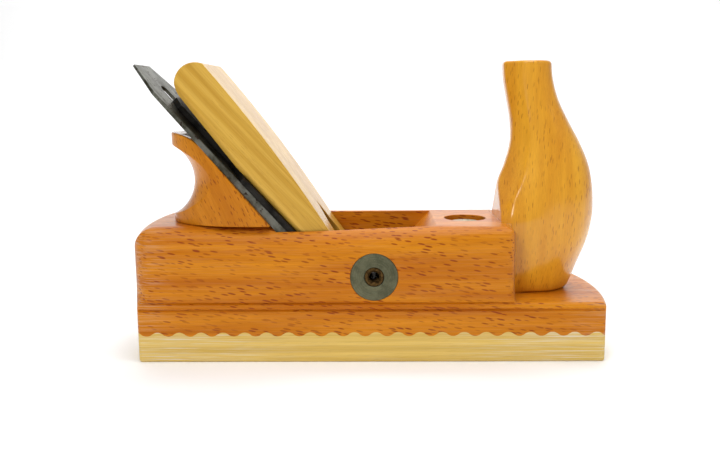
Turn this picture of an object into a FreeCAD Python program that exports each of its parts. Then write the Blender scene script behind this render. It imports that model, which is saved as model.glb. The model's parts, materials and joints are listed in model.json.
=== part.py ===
"""Wooden smoothing plane with a horn, a hand rest and an adjustable mouth, in millimetres.

The origin is the middle of the sole. +X points to the toe, +Y across the plane and +Z up.
Every piece is written to its own STEP file in the folder parts.
"""
import FreeCAD
import Part
import math
import os

V = FreeCAD.Vector

# --- the wooden body ---
BODY_LENGTH = 225.0          # over the arched toe and heel
BODY_WIDTH = 65.0
BODY_HEIGHT = 63.0           # sole to the flat top
END_ARCH = 4.0               # how far the toe and heel bulge in plan
PLATFORM_HEIGHT = 28.0       # low front part that carries the horn
STEP_X = 67.0                # front face of the high part
CORNER_R = 2.0               # upright corners of the low part
TOP_EDGE_R = 5.5             # long top edges
HEEL_EDGE_SHARE = 0.146      # radius of the heel's top edge as a share of the width; the corners blend
HEEL_CORNER_R = 11.0         # upright corners at the heel, stopped above the grooves
FRONT_CORNER_R = 5.5         # upright corners at the step, stopped the same way
CORNER_STOP_Z = 36.0         # where the stopped corners begin to run out
RUN_OUT_R = 9.0              # sweep of the run-out
PLATFORM_EDGE_R = 2.2        # top edge of the low part
STEP_EDGE_R = 1.5            # top edge of the step
SOLE_EDGE_R = 1.0            # long bottom edges
GROOVE_SPACING = 3.2         # two scratched lines along each side, the upper one at the platform's level
GROOVE_DEPTH = 0.9
GROOVE_WIDTH = 1.5

# --- corrugated glue joint between stock and sole ---
JOINT_Z = 13.4
WAVE_PITCH = 10.2
WAVE_RISE = 0.95

# --- bed, iron, cap iron and wedge ---
BED_ANGLE = 49.2             # degrees from the sole
BED_X = 8.0                  # where the bed would meet the sole
IRON_WIDTH = 48.0
IRON_LENGTH = 185.0
IRON_THICK = 4.5             # at the cutting end
IRON_TAIL_THICK = 1.2
IRON_TAPER_START = 60.0      # along the bed, from the sole
IRON_BEVEL = 25.0            # degrees
IRON_SHOULDER = 17.6         # length of the clipped top corners
IRON_END_WIDTH = 25.0
EDGE_LIFT = 0.15             # cutting edge above the sole when the plane is put away
SLOT_WIDTH = 9.5
SLOT_START = 98.0            # both ends measured along the bed
SLOT_END = 168.0
THROAT_PLAY = 0.25           # iron to cheek, each side
SEAT_GAP = 0.02              # flat faces that rest on each other
BAR_GAP = 0.08               # wedge to cross bar, so that the iron can still be tapped down
LIP_GAP = 0.15               # cap iron's lip to the iron

CAP_THICK = 2.8
CAP_BACK = 1.2               # lip behind the cutting edge
CAP_BOW_START = 22.0         # below this the cap iron bends down to its lip
CAP_SHOULDER = 108.0         # full width up to here
CAP_TONGUE_START = 118.0
CAP_TONGUE_WIDTH = 25.0
CAP_END = 158.0
CAP_END_CLIP = 5.0
SCREW_S = 132.0              # cap iron screw along the bed
CAP_SCREW_R = 4.0
CAP_HEAD_R = 9.5
CAP_HEAD_THICK = 3.2
CAP_HEAD_GAP = 0.05
DRIVER_SLOT_WIDTH = 1.6
DRIVER_SLOT_DEPTH = 1.3
BOSS_R = 7.5
BOSS_HEIGHT = 3.5
RUNNING_FIT = 0.05           # radial clearance of turning shafts

WEDGE_WIDTH = 47.0
WEDGE_TIP = 13.0             # lowest point along the bed
WEDGE_TIP_THICK = 2.5
WEDGE_NOSE = 22.0            # where the nose bevel ends on the upper face
WEDGE_BREAK = 66.0           # upper face starts to curve here
WEDGE_BREAK_N = 19.4         # its height above the bed there
WEDGE_MIDDLE = 100.0
WEDGE_MIDDLE_N = 23.6
WEDGE_RELIEF_START = 114.0
WEDGE_RELIEF_N = 8.3         # underside above the bed at the top end
WEDGE_END = 159.0
WEDGE_END_N = 26.6
WEDGE_END_BULGE = 5.0
WEDGE_ARRIS = 2.4            # chamfer of the upper long edges
FORK_POINT = 77.0            # notch between the two prongs
FORK_SHOULDER = 60.0
FORK_HALF_WIDTH = 9.0
BOSS_GROOVE_PLAY = 1.2

# --- bar that the wedge bears on ---
BAR_X = 1.7
BAR_Z = 40.4
BAR_R = 4.5
BAR_BORE_R = 2.55
BAR_END_INSET = 0.3
PLATE_R = 11.0
PLATE_THICK = 2.0
PLATE_FIT = 0.05

# --- throat in front of the iron ---
THROAT_TOP_X = 31.0
THROAT_BEND_X = 22.5
THROAT_BEND_Z = 54.0
THROAT_FOOT_X = 20.5
MOUTH_GAP = 1.2              # cutting edge to mouth block
MOUTH_WALL_GAP = 2.2         # cutting edge to the fixed front of the mouth

# --- adjustable mouth ---
BLOCK_HALF_WIDTH = 21.0
BLOCK_SETBACK = 5.0          # front of the block behind the step's face
BLOCK_HEIGHT = 20.0
BLOCK_PLAY = 0.15
BLOCK_TRAVEL_OPEN = 1.8
BLOCK_TRAVEL_CLOSE = 0.8
LOCK_SETBACK = 20.4          # lock screw behind the step's face
LOCK_WELL_R = 10.2
LOCK_WELL_DEPTH = 6.0
LOCK_HEAD_R = 7.4
LOCK_HEAD_HEIGHT = 3.0
LOCK_SHANK_R = 4.0
LOCK_TIP_Z = 6.0
WASHER_R = 8.1
WASHER_THICK = 1.2
NUT_WIDTH = 13.0
NUT_HEIGHT = 6.5

# --- hand rest behind the iron ---
REST_HALF_WIDTH = 26.8
REST_NOSE_X = -96.3          # tip of the beak
REST_OVAL_X = -57.0          # where the oval nose begins
REST_TOP_Z = 106.0
REST_TOP_LEAVE = 130.0       # along the bed, where the top curves away from the iron
COVE_AXIS_X = -55.2          # the cove is a ring turned about this upright axis
COVE_RING_R = 49.5
COVE_R = 19.0
COVE_Z = 83.6
REST_GROOVE_PLAY = 2.5
REST_GROOVE_DEPTH = 4.2
REST_GROOVE_START = 88.0
REST_DOWEL_R = 4.0
REST_DOWEL_X = -68.0
REST_DOWEL_Y = 16.5
REST_DOWEL_LENGTH = 22.0
REST_DOWEL_UP = 9.5

# --- horn ---
HORN_HOUSING_DEPTH = 4.9
HORN_HOUSING_HALF = 19.2
HORN_RISE = 110.5            # top of the horn above the platform
HORN_DOWEL_R = 6.0
HORN_DOWEL_FORWARD = 13.0    # from the step's face
HORN_DOWEL_DOWN = 10.0
HORN_DOWEL_UP = 14.0
GLUE_GAP = 0.05
# height above the platform, rear x, rear half width, arris x and half width,
# widest x and half width, front x; x is measured from the step's face
HORN_STATIONS = (
    (0.0, -4.9, 11.0, -0.5, 13.6, 8.0, 12.4, 28.0),
    (12.0, -4.9, 13.0, -0.5, 15.6, 11.0, 16.0, 34.4),
    (24.0, -4.9, 15.0, -0.5, 17.6, 15.0, 18.6, 39.4),
    (35.0, -4.9, 16.5, -0.6, 18.8, 17.0, 19.8, 41.7),
    (44.0, -4.9, 9.5, 0.0, 16.6, 17.5, 19.8, 41.9),
    (53.0, -4.6, 2.6, 4.6, 15.4, 18.0, 19.0, 41.0),
    (62.0, -1.4, 2.4, 7.8, 14.4, 18.0, 17.8, 38.8),
    (72.0, 1.0, 2.6, 9.2, 13.6, 16.5, 16.2, 34.3),
    (82.0, 0.8, 3.6, 8.8, 13.0, 14.0, 14.8, 28.7),
    (92.0, -1.0, 6.0, 5.4, 12.6, 10.0, 13.6, 23.6),
    (102.0, -3.8, 7.6, 1.0, 12.4, 8.0, 13.2, 20.6),
)
HORN_TOP_STATION = (-4.7, 8.0, -1.0, 12.6, 7.4, 13.4, 19.6)
HORN_TOP_EDGE_R = 1.2

# --- striking button in the heel ---
BUTTON_Z = 44.0
BUTTON_R = 9.0
BUTTON_DOME = 2.4
BUTTON_SINK = 3.0
BUTTON_SHANK_R = 4.0
BUTTON_SHANK_LENGTH = 16.0

# --- small working values ---
PAST = 1.0                   # how far a cutter reaches past the face that it cuts
HOLE_END = 0.5               # dowel holes are deeper than the dowels by this much
SHANK_PLAY = 0.4             # radial clearance of the lock screw's shank
TONGUE_CORNER_R = 3.0        # upright corners of the horn's tongue and of its housing
NEAR = 0.1                   # tolerance for picking an edge by its place

BED = math.radians(BED_ANGLE)
TAPER = (IRON_THICK - IRON_TAIL_THICK) / (
    IRON_LENGTH - IRON_THICK * math.cos(BED) / math.sin(BED) - IRON_TAPER_START)


def bed_point(along, above, y=0.0):
    """Point at a distance along the bed and above it."""
    x = BED_X - along * math.cos(BED) + above * math.sin(BED)
    z = along * math.sin(BED) + above * math.cos(BED)
    return V(x, y, z)


def iron_face(along):
    """Height of the iron's upper face above the bed, on its tapered part and that line's extension."""
    return IRON_THICK - (along - IRON_TAPER_START) * TAPER


def cap_face(along):
    """Height of the cap iron's upper face above the bed."""
    return iron_face(along) + SEAT_GAP + CAP_THICK


EDGE_S = (EDGE_LIFT - IRON_THICK * math.cos(BED)) / math.sin(BED)
EDGE_X = bed_point(EDGE_S, IRON_THICK).x
MOUTH_BLOCK_X = EDGE_X + MOUTH_GAP
MOUTH_WALL_X = EDGE_X + MOUTH_WALL_GAP
IRON_TOP_S = EDGE_S + IRON_LENGTH
THROAT_HALF = IRON_WIDTH / 2 + THROAT_PLAY
CAVITY_TOP = BLOCK_HEIGHT + BLOCK_PLAY
HEEL_EDGE_R = HEEL_EDGE_SHARE * BODY_WIDTH
BLOCK_FRONT_X = STEP_X - BLOCK_SETBACK
LOCK_X = STEP_X - LOCK_SETBACK
HORN_TOP_Z = PLATFORM_HEIGHT + HORN_RISE
HORN_DOWEL_X = STEP_X + HORN_DOWEL_FORWARD


def face_of(edges):
    """Flat face inside a closed run of edges."""
    return Part.Face(Part.Wire(Part.__sortEdges__(edges)))


def lines(points):
    """Straight edges through the points, not closed."""
    return [Part.makeLine(a, b) for a, b in zip(points, points[1:])]


def across(edges_or_points, half_width):
    """Solid that runs across the plane, from a closed outline drawn at y = 0."""
    edges = edges_or_points
    if isinstance(edges[0], FreeCAD.Vector):
        edges = lines(edges + [edges[0]])
    face = face_of(edges)
    face.translate(V(0, -half_width, 0))
    return face.extrude(V(0, 2 * half_width, 0))


def box(x0, x1, y0, y1, z0, z1):
    """Box between two corners."""
    return Part.makeBox(x1 - x0, y1 - y0, z1 - z0, V(x0, y0, z0))


def upright(radius, x, y, z0, z1):
    """Upright cylinder."""
    return Part.makeCylinder(radius, z1 - z0, V(x, y, z0), V(0, 0, 1))


def cross_cylinder(radius, x, z, y0, y1):
    """Cylinder that runs across the plane."""
    return Part.makeCylinder(radius, y1 - y0, V(x, y0, z), V(0, 1, 0))


def edges_where(shape, test):
    """Edges whose middle point passes the test."""
    return [e for e in shape.Edges if test(e.valueAt((e.FirstParameter + e.LastParameter) / 2), e)]


def plan_outline():
    """Edges of the body in plan: straight sides, arched toe and heel."""
    corner_x = BODY_LENGTH / 2 - END_ARCH
    half = BODY_WIDTH / 2
    toe = Part.Arc(V(corner_x, -half, 0), V(BODY_LENGTH / 2, 0, 0), V(corner_x, half, 0)).toShape()
    heel = Part.Arc(V(-corner_x, half, 0), V(-BODY_LENGTH / 2, 0, 0), V(-corner_x, -half, 0)).toShape()
    far = Part.makeLine(V(corner_x, half, 0), V(-corner_x, half, 0))
    near = Part.makeLine(V(-corner_x, -half, 0), V(corner_x, -half, 0))
    return [toe, far, heel, near]


def blank(z0, z1):
    """The body in plan, between two heights."""
    face = face_of(plan_outline())
    face.translate(V(0, 0, z0))
    return face.extrude(V(0, 0, z1 - z0))


def corner_cutter(corner, toward_1, toward_2, radius, z_stop, z_top):
    """Cutter that rounds an upright corner and runs out below z_stop.

    corner is a point in plan; toward_1 and toward_2 point along the two faces, away from the corner.
    """
    one = V(*toward_1).normalize()
    two = V(*toward_2).normalize()
    half_angle = one.getAngle(two) / 2
    reach = radius / math.tan(half_angle)
    inward = (one + two).normalize()
    centre = corner + inward * (radius / math.sin(half_angle))
    tip = corner - inward * radius
    start = corner + one * reach
    end = corner + two * reach
    middle = centre - inward * radius
    out_1 = start - inward * (2 * radius)
    out_2 = end - inward * (2 * radius)
    outline = [Part.Arc(start, middle, end).toShape()] + lines([end, out_2, tip, out_1, start])
    face = face_of(outline)
    face.translate(V(0, 0, z_stop))
    straight = face.extrude(V(0, 0, z_top - z_stop))
    pivot = corner - inward * (2 * radius + RUN_OUT_R) + V(0, 0, z_stop)
    axis = V(-inward.y, inward.x, 0)
    swept = face.revolve(pivot, axis, 60)
    if swept.CenterOfMass.z > z_stop:
        swept = face.revolve(pivot, axis, -60)
    return straight.fuse(swept)


def heel_corners():
    """Cutters of the two upright corners at the heel."""
    corner_x = BODY_LENGTH / 2 - END_ARCH
    half = BODY_WIDTH / 2
    arch_r = (half ** 2 + END_ARCH ** 2) / (2 * END_ARCH)
    slope = math.asin(half / arch_r)
    cutters = []
    for side in (-1, 1):
        along_end = (-math.sin(slope), -side * math.cos(slope), 0)
        cutters.append(corner_cutter(V(-corner_x, side * half, 0), (1, 0, 0), along_end,
                                     HEEL_CORNER_R, CORNER_STOP_Z, BODY_HEIGHT + 1))
    return cutters


def step_corners():
    """Cutters of the two upright corners at the step."""
    half = BODY_WIDTH / 2
    return [corner_cutter(V(STEP_X, side * half, 0), (-1, 0, 0), (0, -side, 0),
                          FRONT_CORNER_R, CORNER_STOP_Z, BODY_HEIGHT + 1) for side in (-1, 1)]


def round_top_edges(high):
    """Round the high part's top edges: one size along the sides, a larger one at the heel."""
    document = FreeCAD.newDocument("rounding")
    base = document.addObject("Part::Feature", "base")
    base.Shape = high
    half = BODY_WIDTH / 2
    rounded = []
    for number, edge in enumerate(base.Shape.Edges, 1):
        start = edge.valueAt(edge.FirstParameter)
        end = edge.valueAt(edge.LastParameter)
        middle = edge.valueAt((edge.FirstParameter + edge.LastParameter) / 2)
        if middle.z < BODY_HEIGHT - NEAR or middle.x > STEP_X - NEAR:
            continue
        if abs(abs(middle.y) - half) < NEAR:
            rounded.append((number, TOP_EDGE_R, TOP_EDGE_R))
        elif abs(middle.y) < NEAR:
            rounded.append((number, HEEL_EDGE_R, HEEL_EDGE_R))
        elif abs(start.y) > abs(end.y):
            rounded.append((number, TOP_EDGE_R, HEEL_EDGE_R))
        else:
            rounded.append((number, HEEL_EDGE_R, TOP_EDGE_R))
    rounding = document.addObject("Part::Fillet", "rounding")
    rounding.Base = base
    rounding.Edges = rounded
    document.recompute()
    return rounding.Shape.copy()


def step_edge():
    """Cutter that rounds the top edge of the step."""
    x = STEP_X
    z = BODY_HEIGHT
    r = STEP_EDGE_R
    bend = r * (1 - math.sqrt(0.5))
    arc = Part.Arc(V(x, 0, z - r), V(x - bend, 0, z - bend), V(x - r, 0, z)).toShape()
    rim = lines([V(x - r, 0, z), V(x - r, 0, z + PAST), V(x + PAST, 0, z + PAST),
                 V(x + PAST, 0, z - r), V(x, 0, z - r)])
    return across([arc] + rim, BODY_WIDTH)


def rounded_body():
    """Stock before any opening is cut: high rear part, low front part, rounded edges."""
    low = blank(0, PLATFORM_HEIGHT)
    low_corners = edges_where(low, lambda p, e: abs(p.z - PLATFORM_HEIGHT / 2) < NEAR)
    low = low.makeFillet(CORNER_R, low_corners)
    toe_rim = edges_where(low, lambda p, e: p.z > PLATFORM_HEIGHT - NEAR)
    low = low.makeFillet(PLATFORM_EDGE_R, toe_rim)
    high = blank(PLATFORM_HEIGHT - PLATFORM_EDGE_R - PAST / 2, BODY_HEIGHT)
    high = high.cut(box(STEP_X, BODY_LENGTH, -BODY_WIDTH, BODY_WIDTH, 0, BODY_HEIGHT + PAST))
    for cutter in heel_corners():
        high = high.cut(cutter)
    high = round_top_edges(high)
    for cutter in step_corners() + [step_edge()]:
        high = high.cut(cutter)
    return low.fuse(high).removeSplitter()


def below_joint():
    """Everything below the corrugated glue line."""
    count = int(BODY_LENGTH / WAVE_PITCH) + 2
    start_x = -count * WAVE_PITCH / 2
    half = WAVE_PITCH / 2
    wave = []
    for i in range(2 * count):
        rise = WAVE_RISE if i % 2 == 0 else -WAVE_RISE
        x = start_x + i * half
        wave.append(Part.Arc(V(x, 0, JOINT_Z), V(x + half / 2, 0, JOINT_Z + rise),
                             V(x + half, 0, JOINT_Z)).toShape())
    end_x = start_x + 2 * count * half
    wave += lines([V(end_x, 0, JOINT_Z), V(end_x, 0, -5), V(start_x, 0, -5), V(start_x, 0, JOINT_Z)])
    return across(wave, BODY_WIDTH)


def throat():
    """Opening for iron and wedge: bed behind, flared wall in front."""
    top = BODY_HEIGHT + 12
    return across([bed_point(-3, 0), bed_point(top / math.sin(BED), 0), V(THROAT_TOP_X, 0, top),
                   V(THROAT_TOP_X, 0, BODY_HEIGHT), V(THROAT_BEND_X, 0, THROAT_BEND_Z),
                   V(THROAT_FOOT_X, 0, CAVITY_TOP), V(MOUTH_WALL_X, 0, -2)], THROAT_HALF)


def mouth_cavity():
    """Pocket that the mouth block slides in, open to the sole and to the throat."""
    half = BLOCK_HALF_WIDTH + BLOCK_PLAY
    front = BLOCK_FRONT_X + BLOCK_TRAVEL_OPEN + 1
    return box(EDGE_X + 0.5, front, -half, half, -2, CAVITY_TOP)


def lock_passage():
    """Well and slotted hole for the lock screw."""
    well = upright(LOCK_WELL_R, LOCK_X, 0, BODY_HEIGHT - LOCK_WELL_DEPTH, BODY_HEIGHT + 1)
    hole_r = LOCK_SHANK_R + SHANK_PLAY
    x0 = LOCK_X - BLOCK_TRAVEL_CLOSE
    x1 = LOCK_X + BLOCK_TRAVEL_OPEN
    slot = box(x0, x1, -hole_r, hole_r, BLOCK_HEIGHT - 1, BODY_HEIGHT)
    for x in (x0, x1):
        slot = slot.fuse(upright(hole_r, x, 0, BLOCK_HEIGHT - 1, BODY_HEIGHT))
    return well.fuse(slot)


def bar_passage():
    """Bore for the cross bar with a seat for the plate on each side."""
    half = BODY_WIDTH / 2
    bore = cross_cylinder(BAR_R + RUNNING_FIT, BAR_X, BAR_Z, -half - 1, half + 1)
    for y in (-half, half - PLATE_THICK):
        bore = bore.fuse(cross_cylinder(PLATE_R + PLATE_FIT, BAR_X, BAR_Z, y, y + PLATE_THICK))
    return bore


def side_grooves():
    """Two scratched lines along each side."""
    half = BODY_WIDTH / 2
    cutters = []
    for level in (PLATFORM_HEIGHT, PLATFORM_HEIGHT - GROOVE_SPACING):
        for side in (-1, 1):
            outer = side * (half + PAST)
            wide = GROOVE_WIDTH / 2 * (1 + PAST / GROOVE_DEPTH)
            x0 = -BODY_LENGTH
            points = [V(x0, outer, level - wide), V(x0, side * (half - GROOVE_DEPTH), level),
                      V(x0, outer, level + wide)]
            cutters.append(face_of(lines(points + [points[0]])).extrude(V(2 * BODY_LENGTH, 0, 0)))
    return cutters


def rear_corners(block, x, half):
    """The two upright edges of a block at x and at half its width."""
    return edges_where(block, lambda p, e: abs(p.x - x) < NEAR and abs(abs(p.y) - half) < NEAR)


def horn_housing():
    """Upright housing in the step that the horn is let into."""
    x0 = STEP_X - HORN_HOUSING_DEPTH
    half = HORN_HOUSING_HALF
    housing = box(x0, STEP_X + PAST, -half, half, PLATFORM_HEIGHT, BODY_HEIGHT + PAST)
    return housing.makeFillet(TONGUE_CORNER_R, rear_corners(housing, x0, half))


def button_seat():
    """Stepped hole in the heel for the striking button."""
    heel = -BODY_LENGTH / 2
    head = Part.makeCylinder(BUTTON_R + GLUE_GAP, BUTTON_SINK + 5, V(heel - 5, 0, BUTTON_Z), V(1, 0, 0))
    shank = Part.makeCylinder(BUTTON_SHANK_R + GLUE_GAP, BUTTON_SINK + BUTTON_SHANK_LENGTH + 5.5,
                              V(heel - 5, 0, BUTTON_Z), V(1, 0, 0))
    return head.fuse(shank)


def rest_dowel(extra_r=0.0, extra_end=0.0):
    """The two dowels under the hand rest, or their holes when made a little larger."""
    bottom = BODY_HEIGHT + REST_DOWEL_UP - REST_DOWEL_LENGTH - extra_end
    top = BODY_HEIGHT + REST_DOWEL_UP + extra_end
    radius = REST_DOWEL_R + extra_r
    return [upright(radius, REST_DOWEL_X, side * REST_DOWEL_Y, bottom, top) for side in (-1, 1)]


def horn_dowel(extra_r=0.0, extra_end=0.0):
    """Dowel between platform and horn, or its hole."""
    return upright(HORN_DOWEL_R + extra_r, HORN_DOWEL_X, 0, PLATFORM_HEIGHT - HORN_DOWEL_DOWN - extra_end,
                   PLATFORM_HEIGHT + HORN_DOWEL_UP + extra_end)


def make_stock(whole, lower):
    """Beech stock above the corrugated joint; the housing is scribed to the horn."""
    stock = whole.cut(lower)
    for cutter in [throat(), mouth_cavity(), lock_passage(), bar_passage(), horn_housing(), button_seat()]:
        stock = stock.cut(cutter)
    stock = stock.cut(horn_solid())
    for cutter in side_grooves() + rest_dowel(GLUE_GAP, HOLE_END) + [horn_dowel(GLUE_GAP, HOLE_END)]:
        stock = stock.cut(cutter)
    return stock


def make_sole(whole, lower):
    """Hornbeam sole below the corrugated joint, with the mouth cut through it."""
    sole_blank = whole.common(lower)
    rim = edges_where(sole_blank, lambda p, e: p.z < NEAR)
    sole = sole_blank.makeFillet(SOLE_EDGE_R, rim)
    return sole.cut(throat()).cut(mouth_cavity())


def make_mouth_block():
    """Hardwood block that closes the mouth in front of the cutting edge."""
    foot_x = THROAT_FOOT_X + (MOUTH_GAP - MOUTH_WALL_GAP)
    block = across([V(MOUTH_BLOCK_X, 0, 0), V(BLOCK_FRONT_X, 0, 0), V(BLOCK_FRONT_X, 0, BLOCK_HEIGHT),
                    V(foot_x, 0, BLOCK_HEIGHT)], BLOCK_HALF_WIDTH)
    half = NUT_WIDTH / 2 + GLUE_GAP
    pocket = box(LOCK_X - half, LOCK_X + half, -half, half, BLOCK_HEIGHT - NUT_HEIGHT, BLOCK_HEIGHT + 1)
    shank_hole = upright(LOCK_SHANK_R + SHANK_PLAY, LOCK_X, 0, LOCK_TIP_Z - 1, BLOCK_HEIGHT + PAST)
    return block.cut(pocket).cut(shank_hole)


def make_mouth_nut():
    """Square nut let into the top of the mouth block."""
    half = NUT_WIDTH / 2
    nut = box(LOCK_X - half, LOCK_X + half, -half, half, BLOCK_HEIGHT - NUT_HEIGHT, BLOCK_HEIGHT)
    return nut.cut(upright(LOCK_SHANK_R + RUNNING_FIT, LOCK_X, 0, 0, BLOCK_HEIGHT + 1))


def well_floor():
    """Height of the floor of the lock screw's well."""
    return BODY_HEIGHT - LOCK_WELL_DEPTH


def make_washer():
    """Washer under the lock screw's head."""
    z = well_floor() + SEAT_GAP
    ring = upright(WASHER_R, LOCK_X, 0, z, z + WASHER_THICK)
    return ring.cut(upright(LOCK_SHANK_R + RUNNING_FIT, LOCK_X, 0, z - 1, z + WASHER_THICK + 1))


def make_lock_screw():
    """Lock screw with a slotted cheese head and a softly chamfered rim."""
    z = well_floor() + 2 * SEAT_GAP + WASHER_THICK
    top = z + LOCK_HEAD_HEIGHT
    head = upright(LOCK_HEAD_R, LOCK_X, 0, z, top)
    rim = edges_where(head, lambda p, e: p.z > top - NEAR)
    head = head.makeChamfer(0.5, rim)
    slot = box(LOCK_X - 10, LOCK_X + 10, -DRIVER_SLOT_WIDTH / 2, DRIVER_SLOT_WIDTH / 2,
               top - DRIVER_SLOT_DEPTH, top + 1)
    shank = upright(LOCK_SHANK_R, LOCK_X, 0, LOCK_TIP_Z, z + 0.5)
    return head.cut(slot).fuse(shank).removeSplitter()


def make_cross_bar():
    """Tube across the throat that holds the wedge down."""
    half = BODY_WIDTH / 2 - BAR_END_INSET
    bar = cross_cylinder(BAR_R, BAR_X, BAR_Z, -half, half)
    return bar.cut(cross_cylinder(BAR_BORE_R, BAR_X, BAR_Z, -half - 1, half + 1))


def make_side_plate(side):
    """Round plate let into the cheek around the bar's end."""
    half = BODY_WIDTH / 2
    y0, y1 = sorted((side * half, side * (half - PLATE_THICK + SEAT_GAP)))
    plate = cross_cylinder(PLATE_R, BAR_X, BAR_Z, y0, y1)
    return plate.cut(cross_cylinder(BAR_R + RUNNING_FIT, BAR_X, BAR_Z, y0 - 1, y1 + 1))


def make_button():
    """Domed striking button with a shank."""
    heel = -BODY_LENGTH / 2
    seat = heel + BUTTON_SINK - SEAT_GAP
    sphere_r = (BUTTON_R ** 2 + BUTTON_DOME ** 2) / (2 * BUTTON_DOME)
    head = Part.makeCylinder(BUTTON_R, BUTTON_SINK + BUTTON_DOME, V(seat, 0, BUTTON_Z), V(-1, 0, 0))
    dome = Part.makeSphere(sphere_r, V(heel - BUTTON_DOME + sphere_r, 0, BUTTON_Z))
    shank = Part.makeCylinder(BUTTON_SHANK_R, BUTTON_SHANK_LENGTH, V(seat - 0.5, 0, BUTTON_Z), V(1, 0, 0))
    return head.common(dome).fuse(shank).removeSplitter()


def make_hand_rest():
    """Beech hand rest: oval nose in plan, ring-shaped cove behind, bed plane in front."""
    half = REST_HALF_WIDTH
    front_x = bed_point(BODY_HEIGHT / math.sin(BED), 0).x
    oval = Part.Ellipse(V(REST_OVAL_X, 0, 0), REST_OVAL_X - REST_NOSE_X, half)
    nose = Part.Arc(oval, math.pi / 2, 3 * math.pi / 2).toShape()
    sides = lines([V(REST_OVAL_X, -half, 0), V(front_x, -half, 0), V(front_x, half, 0),
                   V(REST_OVAL_X, half, 0)])
    plan = face_of([nose] + sides)
    plan.translate(V(0, 0, BODY_HEIGHT))
    rest = plan.extrude(V(0, 0, REST_TOP_Z - BODY_HEIGHT + 10))
    leave = bed_point(REST_TOP_LEAVE, 0)
    tip = V(REST_NOSE_X - 1, 0, REST_TOP_Z)
    bend = leave + (tip - leave) * 0.5 + V(1.0, 0, 2.4)
    back = REST_NOSE_X - 20
    profile = [Part.Arc(leave, bend, tip).toShape()]
    low = BODY_HEIGHT - 5
    profile += lines([tip, V(back, 0, REST_TOP_Z), V(back, 0, low), bed_point(low / math.sin(BED), 0), leave])
    rest = rest.common(across(profile, BODY_WIDTH))
    cove = Part.makeTorus(COVE_RING_R, COVE_R, V(COVE_AXIS_X, 0, COVE_Z))
    rest = rest.cut(cove)
    groove_half = CAP_HEAD_R + REST_GROOVE_PLAY
    groove_end = REST_TOP_LEAVE + 60
    groove_floor = -REST_GROOVE_DEPTH
    groove = across([bed_point(REST_GROOVE_START, PAST), bed_point(groove_end, PAST),
                     bed_point(groove_end, groove_floor), bed_point(REST_GROOVE_START, groove_floor)],
                    groove_half)
    rest = rest.cut(groove)
    for hole in rest_dowel(GLUE_GAP, HOLE_END):
        rest = rest.cut(hole)
    return rest


def horn_section(height, rear_x, rear_y, arris_x, arris_y, wide_x, wide_y, front_x):
    """Closed wire of one level of the horn: flat rear, two facets and a full round front."""
    z = PLATFORM_HEIGHT + height

    def at(x, y):
        return V(STEP_X + x, y, z)

    shoulder_x = wide_x + 0.66 * (front_x - wide_x)
    shoulder_y = 0.75 * wide_y
    front = Part.BSplineCurve()
    front.interpolate([at(arris_x, -arris_y), at(wide_x, -wide_y), at(shoulder_x, -shoulder_y),
                       at(front_x, 0), at(shoulder_x, shoulder_y), at(wide_x, wide_y), at(arris_x, arris_y)])
    edges = [Part.makeLine(at(rear_x, rear_y), at(rear_x, -rear_y)),
             Part.makeLine(at(rear_x, -rear_y), at(arris_x, -arris_y)),
             front.toShape(),
             Part.makeLine(at(arris_x, arris_y), at(rear_x, rear_y))]
    return Part.Wire(edges)


def horn_solid():
    """The horn with the tongue that fills its housing, before its dowel hole."""
    sections = [horn_section(*station) for station in HORN_STATIONS]
    sections.append(horn_section(HORN_TOP_Z - PLATFORM_HEIGHT, *HORN_TOP_STATION))
    body = Part.makeLoft(sections, True, False)
    x0 = STEP_X - HORN_HOUSING_DEPTH
    half = HORN_HOUSING_HALF - GLUE_GAP
    tongue = box(x0, STEP_X - GLUE_GAP, -half, half, PLATFORM_HEIGHT, BODY_HEIGHT)
    tongue = tongue.makeFillet(TONGUE_CORNER_R, rear_corners(tongue, x0, half))
    horn = body.fuse(tongue)
    rim = edges_where(horn, lambda p, e: p.z > HORN_TOP_Z - NEAR / 2)
    return horn.makeFillet(HORN_TOP_EDGE_R, rim)


def make_horn():
    """Beech horn."""
    return horn_solid().cut(horn_dowel(GLUE_GAP, HOLE_END))


def make_iron():
    """Tapered cutting iron with clipped top corners and a slot for the cap iron's screw."""
    bevel_run = IRON_THICK / math.tan(math.radians(IRON_BEVEL))
    outline = [bed_point(EDGE_S, IRON_THICK), bed_point(IRON_TAPER_START, IRON_THICK),
               bed_point(IRON_TOP_S, iron_face(IRON_TOP_S)), bed_point(IRON_TOP_S, SEAT_GAP),
               bed_point(EDGE_S + bevel_run, SEAT_GAP)]
    iron = across(outline, IRON_WIDTH / 2)
    for side in (-1, 1):
        inner = side * IRON_END_WIDTH / 2
        outer = side * (IRON_WIDTH / 2 + 1)
        slope = (IRON_WIDTH - IRON_END_WIDTH) / 2 / IRON_SHOULDER
        start = IRON_TOP_S - IRON_SHOULDER - 1 / slope
        clip = [bed_point(start, -2, outer), bed_point(IRON_TOP_S, -2, inner),
                bed_point(IRON_TOP_S + 2, -2, inner), bed_point(IRON_TOP_S + 2, -2, outer)]
        direction = bed_point(0, 12) - bed_point(0, 0)
        iron = iron.cut(face_of(lines(clip + [clip[0]])).extrude(direction))
    return iron.cut(bed_slot(SLOT_WIDTH / 2, SLOT_START, SLOT_END, -2, 10))


def bed_cylinder(radius, along, above_0, above_1):
    """Cylinder square to the bed."""
    base = bed_point(along, above_0)
    return Part.makeCylinder(radius, above_1 - above_0, base, bed_point(0, 1) - bed_point(0, 0))


def bed_slot(half, along_0, along_1, above_0, above_1):
    """Round-ended slot square to the bed."""
    points = [bed_point(along_0 + half, above_0), bed_point(along_1 - half, above_0),
              bed_point(along_1 - half, above_1), bed_point(along_0 + half, above_1)]
    slot = across(points, half)
    for along in (along_0 + half, along_1 - half):
        slot = slot.fuse(bed_cylinder(half, along, above_0, above_1))
    return slot


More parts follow.
